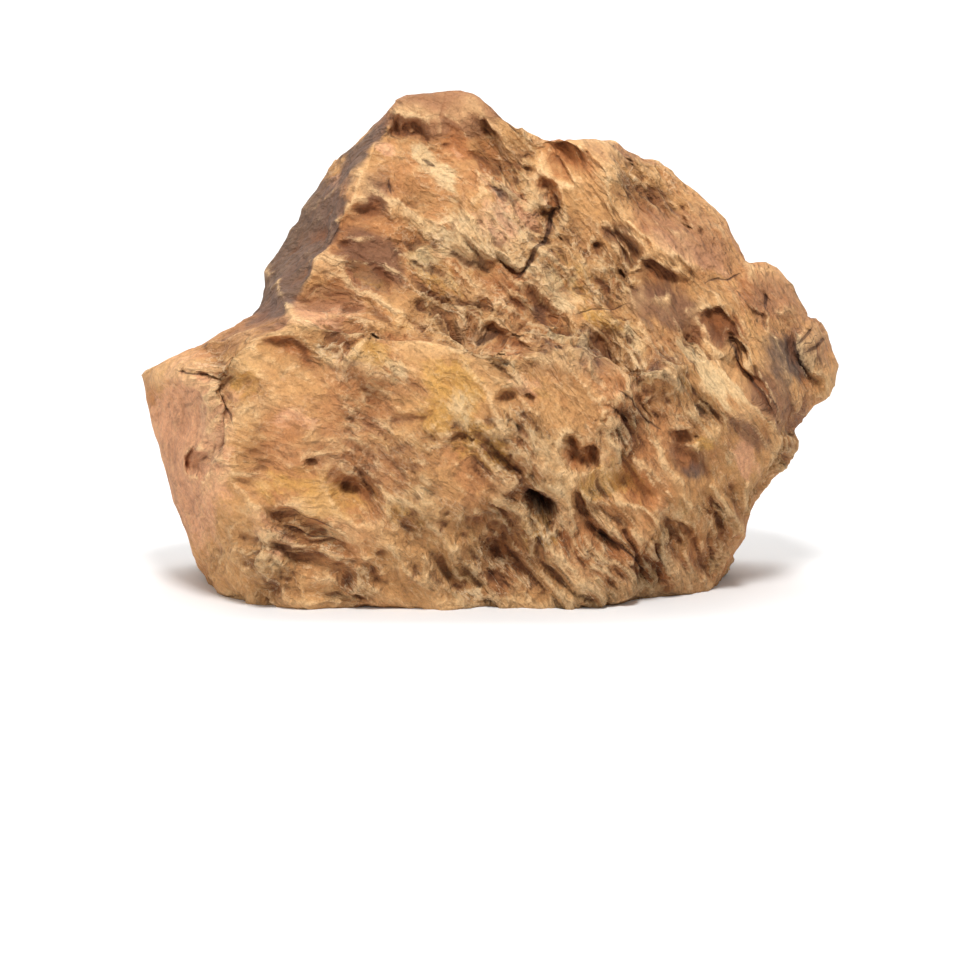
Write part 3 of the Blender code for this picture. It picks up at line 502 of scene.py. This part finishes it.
def within(across, up, corners):
    """Distance to the closed outline through some corners, positive inside it."""
    corners = np.array(corners, float)
    nearest, odd = np.full(across.shape, np.inf), np.zeros(across.shape, bool)
    for start, way in zip(corners, np.roll(corners, -1, 0) - corners):
        aside_x, aside_z = across - start[0], up - start[1]
        share = np.clip((aside_x * way[0] + aside_z * way[1]) / (way @ way), 0, 1)
        nearest = np.minimum(nearest, np.hypot(aside_x - share * way[0], aside_z - share * way[1]))
        if way[1]:
            level = aside_z / way[1]
            odd ^= (level >= 0) & (level < 1) & (aside_x < level * way[0])
    return np.where(odd, nearest, -nearest)


def line(across, up, points):
    """Distance to a bent line, positive above it, and a weight that fades to 0 at its ends."""
    points = np.array(points, float)
    lengths = np.hypot(*np.diff(points, axis=0).T)
    nearest = np.full(across.shape, np.inf)
    side, place = np.zeros(across.shape), np.zeros(across.shape)
    for number, (start, end) in enumerate(zip(points[:-1], points[1:])):
        way = (end - start) / lengths[number]
        along = np.clip((across - start[0]) * way[0] + (up - start[1]) * way[1], 0, lengths[number])
        aside_x, aside_z = across - start[0] - along * way[0], up - start[1] - along * way[1]
        distance = np.hypot(aside_x, aside_z)
        closer = distance < nearest
        nearest = np.where(closer, distance, nearest)
        side = np.where(closer, way[0] * aside_z - way[1] * aside_x, side)
        place = np.where(closer, (lengths[:number].sum() + along) / lengths.sum(), place)
    return nearest * np.where(side < 0, -1, 1), smooth(place, 0, 0.18) * smooth(1 - place, 0, 0.18)


def show_relief(across, up):
    """How far the show face stands out towards the viewer: hollows, crests and ledges added up."""
    height = np.zeros(across.shape)
    for x, z, length, width, turn, depth, steepness in HOLLOWS.values():
        r = ellipse(across, up, x, z, length, width, turn)
        lean = HOLLOW_LEAN * np.clip((up - z) * 2 / width, -1, 1)
        lip = LIP * np.exp(-((r - 1.15) / 0.22) ** 2)
        height += depth * (lip - (1 + lean) * (1 - smooth(r, steepness, 1.12)))
    for corners, depth, wall in CAVES.values():
        height -= depth * smooth(within(across, up, corners), -1, wall)
    for points, rise, above, below in CRESTS.values():
        distance, fade = line(across, up, points)
        height += 0.9 * rise * fade * np.exp(-np.abs(distance) / np.where(distance > 0, above, below))
    for points, rise, above, below in LEDGES.values():
        distance, fade = line(across, up, points)
        fade = fade * np.exp(-np.abs(distance) / np.where(distance > 0, above, below))
        height -= 0.5 * rise * fade * np.tanh(distance / LEDGE_EDGE)
    return RELIEF * height


def cracks(across, up):
    """Signed distance to the nearest crack, its half width there, 0 away from it, and the grooves' depth."""
    side, width = np.full(across.shape, CRACK_REACH), np.zeros(across.shape)
    groove = np.zeros(across.shape)
    for points, half, depth in CRACKS.values():
        distance, fade = line(across, up, points)
        near = (np.abs(distance) < np.abs(side)) & (np.abs(distance) < CRACK_REACH)
        side, width = np.where(near, distance, side), np.where(near, half * np.sqrt(fade), width)
        groove += depth * fade * np.exp(-(distance / CRACK_SPREAD) ** 2)
    return side, width, groove


def scoop_depth(points):
    """Depth of the round hollows worn into the back, ends and top."""
    depth = np.zeros(points.shape[:-1])
    for x, y, z, radius, deep in SCOOPS.values():
        away = np.linalg.norm(points - [x, y, z], axis=-1) / radius
        depth += deep * (1 - smooth(away, 0.2, 1.0))
    return depth


def roughness_left(points):
    """How much of the fine relief the worn patches of the show face leave."""
    across, depth, up = np.moveaxis(points, -1, 0)
    left = np.ones(across.shape)
    for x, z, length, width, turn, amount in CALM.values():
        left *= 1 - amount * (1 - smooth(ellipse(across, up, x, z, length, width, turn), 0.6, 1.3))
    return 1 - (1 - left) * (1 - smooth(depth, 20, 50))


def scramble(cell, seed):
    """A whole number for each lattice cell, mixed from its three indices."""
    x, y, z = (cell[..., axis].astype(np.int64) for axis in range(3))
    mixed = (x * 73856093) ^ (y * 19349663) ^ (z * 83492791) ^ (seed * 265443576)
    mixed = (mixed ^ (mixed >> 13)) * 1274126177
    return (mixed ^ (mixed >> 16)) & 0x3FFFFFFF


def noise(points, seed):
    """Smooth noise from about -1 to 1: each corner of a unit lattice slopes its own way."""
    slopes = np.array([way for way in itertools.product((-1, 0, 1), repeat=3) if np.abs(way).sum() == 2])
    cell = np.floor(points)
    local = points - cell
    fade = local ** 3 * (local * (local * 6 - 15) + 10)
    total = np.zeros(points.shape[:-1])
    for corner in itertools.product((0, 1), repeat=3):
        slope = slopes[scramble(cell + corner, seed) % len(slopes)]
        share = np.prod(np.where(corner, fade, 1 - fade), -1)
        total += share * np.sum(slope * (local - corner), -1)
    return total * 1.1


def layered(points, octaves, seed):
    """Noise with finer and weaker layers of itself added."""
    layers = [noise(points * 2.03 ** k + 17.3 * k, seed + k) * 0.5 ** k for k in range(octaves)]
    return sum(layers) / sum(0.5 ** k for k in range(octaves))


def folded(points, octaves, seed):
    """Noise folded into sharp crests, each finer layer strongest where the one before is high."""
    total, norm, weight = 0, 0, 1.0
    for k in range(octaves):
        crest = np.clip(1 - np.abs(noise(points * 2.07 ** k + 9.1 * k, seed + k)) * 1.7, 0, None) ** 2
        crest = crest * weight
        weight = np.clip(crest * 1.8, 0, 1)
        total = total + crest * 0.55 ** k
        norm += 0.55 ** k
    return total / norm - 0.35


def chipped(points, seed, bowl, edge=None):
    """Broken chips: every lattice cell holds one tilted scoop of its own tone. The deepest one shows, which
    leaves sharp crests between scoops, or else the nearest one, when a step of some sharpness parts them."""
    base = np.floor(points)
    height, tone, norm = (np.zeros(points.shape[:-1]) for _ in range(3))
    for offset in itertools.product((-1, 0, 1), repeat=3):
        place, plane = scramble(base + offset, seed), scramble(base + offset, seed + 77)
        middle = np.stack([place & 1023, (place >> 10) & 1023, (place >> 20) & 1023], -1) / 1023
        tilt = np.stack([plane & 1023, (plane >> 10) & 1023, (plane >> 20) & 1023], -1) / 1023 * 2 - 1
        away = points - (base + offset + middle)
        far = np.sum(away ** 2, -1)
        lift = ((plane >> 4) & 1023) / 1023 * 1.2 - 0.6 + np.sum(tilt * away, -1) + bowl * (far - 0.2)
        share = np.exp(-edge * np.sqrt(far) if edge else -SCOOP_EDGE * lift)
        height += share * lift
        tone += share * (((place >> 5) & 1023) / 511.5 - 1)
        norm += share
    return height / norm, tone / norm


def three(points, seed):
    """Three independent noises, to push points about with."""
    return np.stack([layered(points, 2, seed + k) for k in range(3)], -1)


def bedding(points):
    """Coordinates along, into and across the bedding, which dips to the right and steepens that way."""
    x, y, z = np.moveaxis(points, -1, 0)
    across = BEDDING_SCALE * (z + DIP * x + STEEPENING * x ** 2) + 0.25 * y
    laid = np.stack([BEDDING_SCALE * (x - DIP * z), y, across], -1)
    return laid + BEDDING_WARP * three(points / BEDDING_SIZE, 5)


def weathered(points):
    """The block with everything that was broken off it, worn into it or left standing on it: its points, its
    bedding, how far edges drawn on the show face are shifted, and the numbers that the material reads."""
    out = outward(points)
    laid = bedding(points) + three(points / BEDDING_RIPPLE_SIZE, 15)
    left = roughness_left(points) * (0.3 + 1.2 * smooth(layered(points / QUIET_SIZE, 2, 61), -0.3, 0.4))
    left *= 1 - 0.6 * np.exp(-(points[..., 1] / 25) ** 2)
    grain = smooth(0.5 * points[..., 0] - points[..., 2], -170, -20)
    rise, tones, tone = {}, {}, 0
    for name, (size, high, seed, bowl, edge, part) in BROKEN_LAYERS.items():
        lift, tones[name] = chipped(laid / size, seed, bowl, edge)
        rise[name] = high * lift
        tone = tone + part * tones[name]
    plates = (0.4 + 0.6 * grain) * (rise["scallops"] + rise["flakes"])
    height = LUMP_HEIGHT * layered(points / LUMP_SIZE, 2, 11) + (0.3 + 0.7 * left) * rise["chips"]
    height += left * (plates + (1.3 - grain) * rise["splits"] + rise["crumbs"])
    height += left * FOLD_HEIGHT * folded(laid / FOLD_SIZE, 4, 31)
    strata = folded((laid + BLADE_WARP * three(points / BLADE_WARP_SIZE, 45)) / BLADE_SIZE, 3, 41)
    height += (0.25 + 0.75 * left) * (0.1 + 0.9 * grain) * BLADE_HEIGHT * strata
    height -= scoop_depth(points)
    worn = points + out * height[..., None]
    facing = smooth(-out[..., 1], 0.05, 0.45)
    bend = EDGE_SHIFT * three(points / EDGE_SIZE, 81) + FINE_SHIFT * three(points / FINE_SIZE, 91)
    ragged = np.stack([tones["scallops"], np.zeros(tone.shape), tones["flakes"]], -1)
    shift = bend + BREAK_SHIFT * ragged
    across, _, up = np.moveaxis(points + shift, -1, 0)
    crack_across, _, crack_up = np.moveaxis(points + CRACK_SHIFT * bend, -1, 0)
    side, width, groove = cracks(crack_across, crack_up)
    relief = facing * (show_relief(across, up) - groove)
    worn[..., 1] -= relief
    worn[..., 2] -= UNDERCUT * np.minimum(relief, 0)
    marks = {"tone": tone, "rough": left, "strata": strata, "grain": grain, "crack_side": side,
             "crack_width": width * facing}
    return worn, laid, shift, marks


def seen(points):
    """Each drawn point carried into the world along its line of sight."""
    forward = np.array([0, math.cos(EYE_RISE), -math.sin(EYE_RISE)])
    upward = np.array([0, math.sin(EYE_RISE), math.cos(EYE_RISE)])
    eye = np.array([AIM_ACROSS, 0, AIM_HEIGHT]) - forward * EYE_DISTANCE
    across, depth, up = (points[..., axis, None] for axis in range(3))
    sight = forward * EYE_DISTANCE + upward * (up - AIM_UP) + np.array([1, 0, 0]) * (across - AIM_ACROSS)
    return eye + sight * (1 + depth / EYE_DISTANCE)


def stand(points):
    """The stone cut off flat at the ground. Each column of the grid meets the ground at one point. Its rings
    below that lie on the way there from the middle of the foot, each a little short of the next."""
    ring = np.arange(len(points))[:, None]
    column = np.arange(points.shape[1])
    last = np.where((points[..., 2] <= 0) & (ring < len(points) // 2), ring, 0).max(0)
    low, high = points[last, column], points[last + 1, column]
    meets = (low + (high - low) * (low[:, 2:] / (low[:, 2:] - high[:, 2:])))[:, :2]
    middle = meets.mean(0)
    reach = np.linalg.norm(points[..., :2] - middle, axis=-1) / np.linalg.norm(meets - middle, axis=-1)
    reach = np.where(ring == last, 1, np.minimum(reach, 1)) - FOOT_GAP * ring
    share = np.minimum.accumulate(np.where(ring <= last, reach, np.inf)[::-1])[::-1] + FOOT_GAP * ring
    share = np.where(ring <= last, share, 0)[..., None]
    foot = np.concatenate([middle + (meets - middle) * share, 0 * share], -1)
    return np.where((ring <= last)[..., None], foot, points)


def blurred(values, reach):
    """Values of the grid averaged over reach steps each way, three times over."""
    wide = 2 * reach + 1
    for _ in range(3):
        for axis, mode in ((0, "edge"), (1, "wrap")):
            pad = [(0, 0)] * values.ndim
            pad[axis] = (reach + 1, reach)
            total = np.cumsum(np.pad(values, pad, mode=mode), axis)
            ahead = np.take(total, range(wide, total.shape[axis]), axis)
            behind = np.take(total, range(total.shape[axis] - wide), axis)
            values = (ahead - behind) / wide
    return values


def rubbed(points, out):
    """The points with sharp spurs worn back: what stands out past the limit from the mean around it is
    lowered by most of the rest."""
    spur = np.sum((points - blurred(points, SPUR_REACH)) * out, -1)
    return points - out * (SPUR_WEAR * np.maximum(spur - SPUR_LIMIT, 0))[..., None]


def wrap(name, rings):
    """A closed mesh of rings one above the other, each end drawn together to one point."""
    up, around = rings.shape[:2]
    corners = np.concatenate([rings.reshape(-1, 3), rings[:1].mean(1), rings[-1:].mean(1)])
    index = np.arange(up * around).reshape(up, around)
    after = np.roll(index, -1, 1)
    quads = np.stack([index[:-1], after[:-1], after[1:], index[1:]], -1).reshape(-1, 4)
    foot = np.stack([np.full(around, up * around), after[0], index[0]], -1)
    crown = np.stack([np.full(around, up * around + 1), index[-1], after[-1]], -1)
    mesh = bpy.data.meshes.new(name)
    mesh.from_pydata(corners * MM, [], quads.tolist() + foot.tolist() + crown.tolist())
    mesh.shade_smooth()
    return mesh


def store(mesh, name, values):
    """One number for every vertex of the wrapped grid, the two end points taking their ring's mean."""
    values = np.concatenate([values.ravel(), [values[0].mean(), values[-1].mean()]]).astype(np.float32)
    mesh.attributes.new(name, "FLOAT", "POINT").data.foreach_set("value", values)


def store_vector(mesh, name, values):
    """Three numbers for every vertex of the wrapped grid."""
    values = np.concatenate([values.reshape(-1, 3), values[:1].mean(1), values[-1:].mean(1)])
    values = values.astype(np.float32).ravel()
    mesh.attributes.new(name, "FLOAT_VECTOR", "POINT").data.foreach_set("vector", values)


def stains(across, up, places):
    """Strength of one stain: the greatest of its places on the show face."""
    strength = np.zeros(across.shape)
    for x, z, length, width, turn, amount in places:
        away = ellipse(across, up, x, z, length, width, turn)
        strength = np.maximum(strength, amount * (1 - smooth(away, 0.3, 1.5)))
    return strength


class Value:
    """A number that changes over the surface: arithmetic on it adds Math nodes."""

    def __init__(self, paint, socket):
        self.paint, self.socket = paint, socket

    def __add__(self, other):
        return self.paint.maths("ADD", self, other)

    def __sub__(self, other):
        return self.paint.maths("SUBTRACT", self, other)

    def __rsub__(self, other):
        return self.paint.maths("SUBTRACT", other, self)

    def __mul__(self, other):
        return self.paint.maths("MULTIPLY", self, other)

    __radd__, __rmul__ = __add__, __mul__


class Paint:
    """A material put together from nodes in front of its Principled BSDF."""

    def __init__(self, name, **constants):
        self.material = bpy.data.materials.new(name)
        self.material.use_nodes = True
        self.tree = self.material.node_tree
        self.surface = self.tree.nodes["Principled BSDF"]
        for socket, value in constants.items():
            self.surface.inputs[socket.replace("_", " ")].default_value = value

    def put(self, socket, value):
        """A link into a socket, or its value."""
        if isinstance(value, Value):
            self.tree.links.new(value.socket, socket)
        else:
            socket.default_value = value

    def node(self, kind, settings, values, output=0):
        """One output of a new node: its settings are made first, then its sockets get values or links."""
        node = self.tree.nodes.new("ShaderNode" + kind)
        for name, value in settings.items():
            setattr(node, name, value)
        for name, value in values.items():
            self.put(node.inputs[name], value)
        return Value(self, node.outputs[output])

    def maths(self, operation, *values):
        """A Math node's result."""
        return self.node("Math", {"operation": operation}, dict(enumerate(values)))

    def stretch(self, vector, size):
        """A vector divided by a size along each axis."""
        return self.node("VectorMath", {"operation": "DIVIDE"}, {0: vector, 1: size})

    def size_of(self, value):
        """A number without its sign."""
        return self.maths("ABSOLUTE", value)

    def attribute(self, name, output="Fac"):
        """What the mesh stores under a name."""
        return self.node("Attribute", {"attribute_name": name}, {}, output)

    def clouds(self, vector, size, detail=3.0, roughness=0.5, distortion=0.0):
        """Noise from about -1 to 1 whose lumps have a size along each axis."""
        values = {"Vector": self.stretch(vector, size), "Scale": 1.0, "Detail": detail,
                  "Roughness": roughness, "Distortion": distortion}
        return self.node("TexNoise", {}, values) * 4.4 - 2.2

    def bent(self, vector, size, amount):
        """A vector pushed about by noise."""
        values = {"Vector": self.stretch(vector, size), "Scale": 1.0, "Detail": 2.0}
        push = self.node("TexNoise", {}, values, "Color")
        push = self.node("VectorMath", {"operation": "SUBTRACT"}, {0: push, 1: (0.5, 0.5, 0.5)})
        push = self.node("VectorMath", {"operation": "SCALE"}, {0: push, "Scale": 2 * amount})
        return self.node("VectorMath", {"operation": "ADD"}, {0: vector, 1: push})

    def pits(self, vector, size):
        """Cells with a size along each axis, each a flat-sided pit of its own tone: its height, from about -1
        in its middle to 1 on the crests round it, and the tone, from -1 to 1."""
        values = {"Vector": self.stretch(vector, size), "Scale": 1.0}
        deep = self.node("TexVoronoi", {"distance": "MANHATTAN"}, values, "Distance")
        colour = Value(self, deep.socket.node.outputs["Color"])
        return deep * 2.2 - 1.6, self.node("SeparateColor", {}, {0: colour}) * 2 - 1

    def step(self, value, low, high):
        """A soft step from 0 at low to 1 at high."""
        return self.node("MapRange", {"interpolation_type": "SMOOTHSTEP"}, {0: value, 1: low, 2: high})

    def mix(self, share, below, above, blend="MIX"):
        """Two colours mixed, or blended the way that is named."""
        settings = {"data_type": "RGBA", "blend_type": blend, "clamp_factor": True}
        return self.node("Mix", settings, {0: share, 6: below, 7: above}, 2)

    def over(self, share, below, clay):
        """A colour with some of one of the clay's colours laid over it."""
        return self.mix(share, below, shade(*CLAY[clay]))


def shade(red, green, blue):
    """A linear colour from its three values of 0 to 255 on a screen."""
    screen = [value / 255 for value in (red, green, blue)]
    return (*[v / 12.92 if v < 0.04045 else ((v + 0.055) / 1.055) ** 2.4 for v in screen], 1.0)


def clay_stone():
    """Ochre clay stone: clouded tan and orange and stained, with painted light and shade on its facets,
    painted highlights on its crests and painted shade in its hollows and cracks.
    """
    paint = Paint("weathered_clay_stone", Metallic=0.0)
    place = paint.node("TexCoord", {}, {}, "Object")
    place = paint.node("VectorMath", {"operation": "SCALE"}, {0: place, "Scale": 1000.0})
    laid = paint.attribute("laid", "Vector")
    fine = paint.attribute("hollow_fine")
    wide = paint.attribute("hollow_wide")
    tone = paint.attribute("tone")
    rough = paint.attribute("rough")
    ragged = paint.clouds(laid, (16, 12, 8), 6, 0.7)
    grit = paint.clouds(place, (1.8, 1.8, 1.8), 3, 0.8)
    large = paint.clouds(place, (40, 40, 40), 2, 0.5)
    mottle = paint.clouds(laid, (7, 6, 5), 6, 0.75)
    streak = paint.clouds(laid, (5, 4, 2.6), 5, 0.75)

    bent = paint.bent(laid, (6, 5, 4), 1.5)
    pit, flat = paint.pits(bent, (13, 10, 7))
    small_pit, small_flat = paint.pits(bent, (5.5, 4.5, 3))
    flat = (0.25 + 0.75 * rough) * (0.6 * flat + 0.4 * small_flat)
    broken = (0.4 + 0.7 * rough) * (0.5 * pit + 0.5 * small_pit)
    thread = 1 - 1.6 * paint.size_of(paint.clouds(laid, (15, 8, 4.5), 4, 0.6))
    wrinkle = 1 - 1.6 * paint.size_of(paint.clouds(place, (14, 14, 10), 4, 0.6, 0.3))
    grain = paint.attribute("grain")
    crest_line = grain * paint.step(thread, 0.8, 1.0) + (1 - grain) * paint.step(wrinkle, 0.8, 1.0)
    thread = paint.maths("MAXIMUM", grain * thread + (1 - grain) * wrinkle, -0.2)
    strata = paint.attribute("strata")

    stain = 0.2 * mottle + 0.1 * tone + 0.25 * flat
    colour = paint.over(paint.step(large + 0.4 * ragged, -0.4, 0.5), shade(*CLAY["sand"]), "earth")
    for number, (name, most) in enumerate(UNDER_STAINS.items()):
        away = (number * STAIN_SPACING,) * 3
        own = paint.node("VectorMath", {"operation": "ADD"}, {0: laid, 1: away})
        own = paint.clouds(own, (24, 17, 11), 5, 0.65)
        mask = paint.step(paint.attribute(name) + stain + 0.45 * own, 0.25, 0.75)
        colour = paint.over(most * mask, colour, name)
    quiet = 0.4 + 0.6 * rough
    # Painted light and shade: the colour is lightened where the pit facets and random tone are high and
    # darkened where they are low, as if each facet were lit on one side and shaded on the other
    light = quiet * (0.45 * tone + 0.3 * ragged + 0.5 * flat + 0.6 * broken)
    light = light + 0.35 * mottle + 0.3 * streak + 0.08
    colour = paint.over(0.7 * paint.step(light, 0.0, 1.1), colour, "lit")
    colour = paint.over(0.65 * paint.step(light * -1, 0.0, 1.1), colour, "facet_painted_shade")
    # Painted highlights on the crests of the pits, threads and bedding blades, partly random
    crest_highlight = broken * 0.6 + thread * 0.3 + grain * strata * 0.7 + 0.4 * mottle + 0.3 * ragged
    colour = paint.over(0.6 * rough * paint.step(crest_highlight, 0.5, 1.1), colour, "pale")
    # Thin painted highlight lines along the crests
    crest = (0.1 + rough) * crest_line * paint.step(ragged + 0.6 * mottle, -0.4, 0.5)
    colour = paint.over(0.6 * crest, colour, "crest_line_highlight")
    # Painted shade among the stains laid over: umber in the caves and hollows and on the hump and left facet,
    # and partly tan on the hump's top
    for name, most in OVER_STAINS.items():
        mask = paint.step(paint.attribute(name) + 0.8 * stain + 0.25 * ragged - 0.3 * light, 0.15, 0.95)
        colour = paint.over(most * mask, colour, name)
    # Painted shade in the hollows and painted highlights on the crests, by how far each point lies below or
    # above the mean of the mesh around it
    uneven = 0.2 * ragged + 0.5 * flat
    colour = paint.over(0.5 * paint.step(wide + uneven, 0.3, 2.6), colour, "wide_hollow_shade")
    hollow = paint.step(fine + 0.15 * mottle + 0.12 * grit, 0.15, 0.9)
    colour = paint.over(0.58 * hollow, colour, "fine_hollow_shade")
    colour = paint.over(0.45 * paint.step(uneven - wide, 0.4, 2.6), colour, "wide_crest_highlight")
    crest = paint.step(0.2 * mottle + 0.2 * streak + 0.2 * grit - fine, 0.25, 0.9)
    colour = paint.over(0.5 * crest, colour, "fine_crest_highlight")
    # Painted shade in the valleys between the bedding blades
    bed_valley_shade_mask = rough * grain * paint.step(0.25 * streak - 0.5 * thread - 1.2 * strata, 0.1, 0.8)
    colour = paint.over(0.45 * bed_valley_shade_mask, colour, "bed_valley_shade")
    # A dark line painted along each crack is the shade inside a groove too thin for the mesh
    side = paint.size_of(paint.attribute("crack_side"))
    crack = paint.step(paint.attribute("crack_width") - side + 0.2 * grit, -0.2, 0.3)
    colour = paint.over(0.7 * crack, colour, "crack")
    colour = paint.mix(1.0, colour, (1.0, 0.93, 0.88, 1), "MULTIPLY")
    colour = paint.mix(1.0, colour, 1 + 0.22 * grit, "MULTIPLY")
    paint.put(paint.surface.inputs["Base Color"], colour)

    paint.put(paint.surface.inputs["Roughness"], 0.88 + 0.05 * ragged)
    height = 2.4 * broken + (0.1 + 0.95 * rough) * (1.4 * thread + 0.4 * mottle + 0.2 * streak)
    height = height + 0.45 * quiet * grit - 0.8 * crack
    bump = paint.node("Bump", {}, {"Height": height, "Distance": MM, "Strength": 1.0})
    paint.put(paint.surface.inputs["Normal"], bump)
    return paint.material


def stone():
    """The whole stone: the wrapped block, weathered, with everything that the material reads from it."""
    drawn = block(stone_directions(STEPS_AROUND, STEPS_UP))
    worn, laid, shift, marks = weathered(drawn)
    worn = rubbed(worn, outward(drawn))
    out = outward(worn)
    even = np.clip(STEP / step_length(worn), 0, 1) ** 1.5
    # How far each point lies below the mean around it, from which the material paints shade in hollows and
    # highlights on crests
    for name, reach in (("hollow_fine", FINE_REACH), ("hollow_wide", WIDE_REACH)):
        marks[name] = even * np.sum((blurred(worn, reach) - worn) * out, -1)
    mesh = wrap("dragon_stone_surface", stand(seen(worn)))
    store_vector(mesh, "laid", laid)
    for name, values in marks.items():
        store(mesh, name, values)
    across, up = drawn[..., 0] + shift[..., 0], drawn[..., 2] + shift[..., 2]
    shown = smooth(-outward(drawn)[..., 1], -0.35, 0.1)
    for seed, (name, places) in enumerate(STAINS.items()):
        cloudy = smooth(layered(drawn / CLOUD_SIZE, 2, 200 + 9 * seed), 0.0, 0.55) * (1 - shown)
        store(mesh, name, stains(across, up, places) * shown + CLOUD_STRENGTH * cloudy)
    mesh.materials.append(clay_stone())
    thing = bpy.data.objects.new("dragon_stone_surface", mesh)
    bpy.context.collection.objects.link(thing)
    return thing


def sweep():
    """A pale floor that curves up into a backdrop: a profile carried along the width."""
    turn = np.linspace(0, np.pi / 2, 24)
    depth = np.concatenate([[-3.0], 1.6 + 0.9 * np.sin(turn), [2.5]])
    rise = np.concatenate([[0.0], 0.9 - 0.9 * np.cos(turn), [3.5]])
    corners = np.concatenate([np.stack([np.full(depth.size, wide), depth, rise], -1) for wide in (-3.5, 3.5)])
    first = np.arange(depth.size - 1)
    faces = np.stack([first, first + depth.size, first + depth.size + 1, first + 1], -1)
    mesh = bpy.data.meshes.new("sweep")
    mesh.from_pydata(corners, [], faces.tolist())
    mesh.shade_smooth()
    mesh.materials.append(Paint("paper", Base_Color=(0.86, 0.86, 0.86, 1), Roughness=0.9).material)
    thing = bpy.data.objects.new("sweep", mesh)
    bpy.context.collection.objects.link(thing)
    return thing


def aimed(data, place, target):
    """A camera or light put at a place and turned to a target."""
    thing = bpy.data.objects.new(data.name, data)
    bpy.context.collection.objects.link(thing)
    thing.location = place
    thing.rotation_euler = (Vector(target) - Vector(place)).to_track_quat("-Z", "Y").to_euler()
    return thing


def camera():
    """A long lens a little above the show face, looking straight at it."""
    data = bpy.data.cameras.new("camera")
    data.lens = 85
    data.sensor_width = 36
    data.sensor_fit = "HORIZONTAL"
    aim = Vector(LENS_AIM)
    place = aim + Vector((0, -math.cos(EYE_RISE), math.sin(EYE_RISE))) * LENS_DISTANCE
    bpy.context.scene.camera = aimed(data, place, aim)


def lights():
    """A key from above the front, a weak fill from the left, one light for the backdrop, a pale surround."""
    for name, (size, energy, place, target) in LAMPS.items():
        data = bpy.data.lights.new(name, "AREA")
        data.size = size
        data.energy = energy
        aimed(data, place, target)
    world = bpy.data.worlds.new("studio")
    bpy.context.scene.world = world
    world.use_nodes = True
    world.node_tree.nodes["Background"].inputs["Color"].default_value = (1, 1, 1, 1)
    world.node_tree.nodes["Background"].inputs["Strength"].default_value = 0.4
    bpy.context.scene.view_settings.view_transform = "Standard"


piece = stone()
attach(piece, "root")
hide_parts("dragon_stone")
sweep()
camera()
lights()
